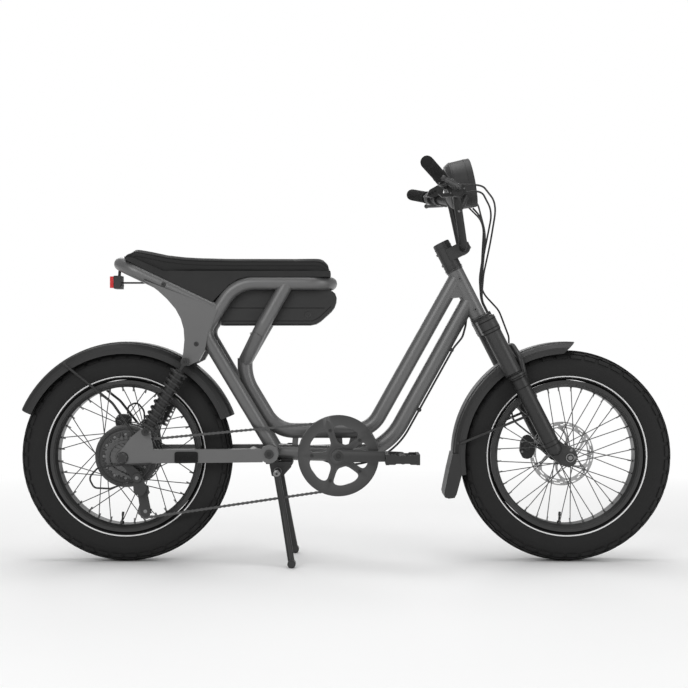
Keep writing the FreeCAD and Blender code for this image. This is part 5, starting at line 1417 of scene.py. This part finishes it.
# Seat cover: the solid's shape swollen as cloth
def make_seat():
    source = NODES["seat_cushion"]
    mesh = source.data.copy()
    mesh.transform(source.matrix_world)
    item = bpy.data.objects.new("seat_cover_pad", mesh)
    bpy.context.scene.collection.objects.link(item)
    middle = sum((vert.co for vert in mesh.vertices), Vector()) / len(mesh.vertices)
    low = Vector(min(vert.co[k] for vert in mesh.vertices) for k in range(3))
    high = Vector(max(vert.co[k] for vert in mesh.vertices) for k in range(3))
    half = (high.y - low.y) / 2
    for vert in mesh.vertices:
        vert.co.y *= 1 - 4.0 * MM / half
        vert.co.x = middle.x + (vert.co.x - middle.x) * (1 - 4.0 * MM / (high.x - middle.x))
    weld = item.modifiers.new("weld", "WELD")
    weld.merge_threshold = 0.05 * MM
    remesh = item.modifiers.new("remesh", "REMESH")
    remesh.mode = "VOXEL"
    remesh.voxel_size = 5 * MM
    smooth = item.modifiers.new("smooth", "SMOOTH")
    smooth.iterations = 6
    bake(item)
    swell(item, 5 * MM)
    edge = item.modifiers.new("edge", "SUBSURF")
    edge.levels = edge.render_levels = 1
    bake(item)
    soften(item, 60)
    dress(item, "seat_cover")
    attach(item, "frame")
    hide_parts("seat_cushion")
    return item


def bake(item):
    """Apply the modifiers of a piece to its mesh."""
    shape = item.evaluated_get(bpy.context.evaluated_depsgraph_get())
    old = item.data
    item.data = bpy.data.meshes.new_from_object(shape)
    item.modifiers.clear()
    bpy.data.meshes.remove(old)


def swell(item, most):
    """Blow the closed mesh up as cloth and cap how far each point goes."""
    rest = [vert.co.copy() for vert in item.data.vertices]
    cloth = item.modifiers.new("cloth", "CLOTH")
    settings = cloth.settings
    settings.use_pressure = True
    settings.uniform_pressure_force = 4
    settings.effector_weights.gravity = 0
    scene = bpy.context.scene
    for frame_number in range(1, 21):
        scene.frame_set(frame_number)
    bake(item)
    for vert, old in zip(item.data.vertices, rest):
        shift = vert.co - old
        if shift.length > most:
            vert.co = old + shift.normalized() * most
    scene.frame_set(1)


def plain_finishes():
    """Finishes of the small pieces that the record has no slot for."""
    screen = Tree("screen_glass")
    smear = screen.noise(60, 3)
    screen.set(Base_Color=screen.mix(smear, grey(0.008), grey(0.014)), Coat_Weight=0.8)
    screen.set(Roughness=screen.ramp(smear, (0.3, 0.08), (0.8, 0.16)))
    FINISH["screen_glass"] = screen.material
    mirror = Tree("lamp_mirror")
    dull = mirror.noise(40, 2)
    mirror.set(Base_Color=mirror.mix(dull, grey(0.62), grey(0.75)), Metallic=1.0)
    mirror.set(Roughness=mirror.ramp(dull, (0.3, 0.12), (0.8, 0.2)))
    FINISH["lamp_mirror"] = mirror.material
    led = Tree("lamp_led")
    dots = led.cells(420)
    led.set(Base_Color=led.mix(dots, (0.86, 0.84, 0.72, 1), (0.95, 0.94, 0.88, 1)), Roughness=0.22)
    led.set(Emission_Color=(1.0, 0.97, 0.88, 1), Emission_Strength=0.15)
    FINISH["lamp_led"] = led.material
    amber = Tree("amber")
    prisms = amber.cells(700)
    amber.set(Base_Color=amber.mix(prisms, (0.75, 0.2, 0.02, 1), (0.5, 0.1, 0.01, 1)))
    amber.set(Roughness=0.18, Coat_Weight=0.5)
    amber.set(Normal=amber.bump(prisms, 0.3, 0.0005))
    FINISH["amber"] = amber.material


def line_white():
    tree = Tree("tyre_line")
    grain = tree.cells(900)
    tree.set(Base_Color=tree.mix(grain, grey(0.78), grey(0.9)), Roughness=0.35)
    return tree.material


FINISH["tyre_line"] = line_white()

plain_finishes()
for wheel, place in (("front", FRONT), ("rear", REAR)):
    make_tyre(wheel + "_tyre", place, wheel + "_wheel")
    make_wheel_fittings(wheel, place)
    make_disc(wheel, place)
make_motor()
make_freewheel()
make_guard()
make_springs()
make_chain()
make_fork_fittings()
make_stem_fittings()
make_grips()
make_levers()
make_pods()
make_headlight()
make_calipers()
make_shock_fittings()
make_frame_fittings()
make_arm_guard()
make_clips()
make_battery_fittings()
make_taillight()
make_fender_fittings()
make_stand_fittings()
make_pedals()
make_derailleur_fittings()
make_piping(make_seat())
for part in RECORD["subparts"]:
    soften(NODES[part["node"]])
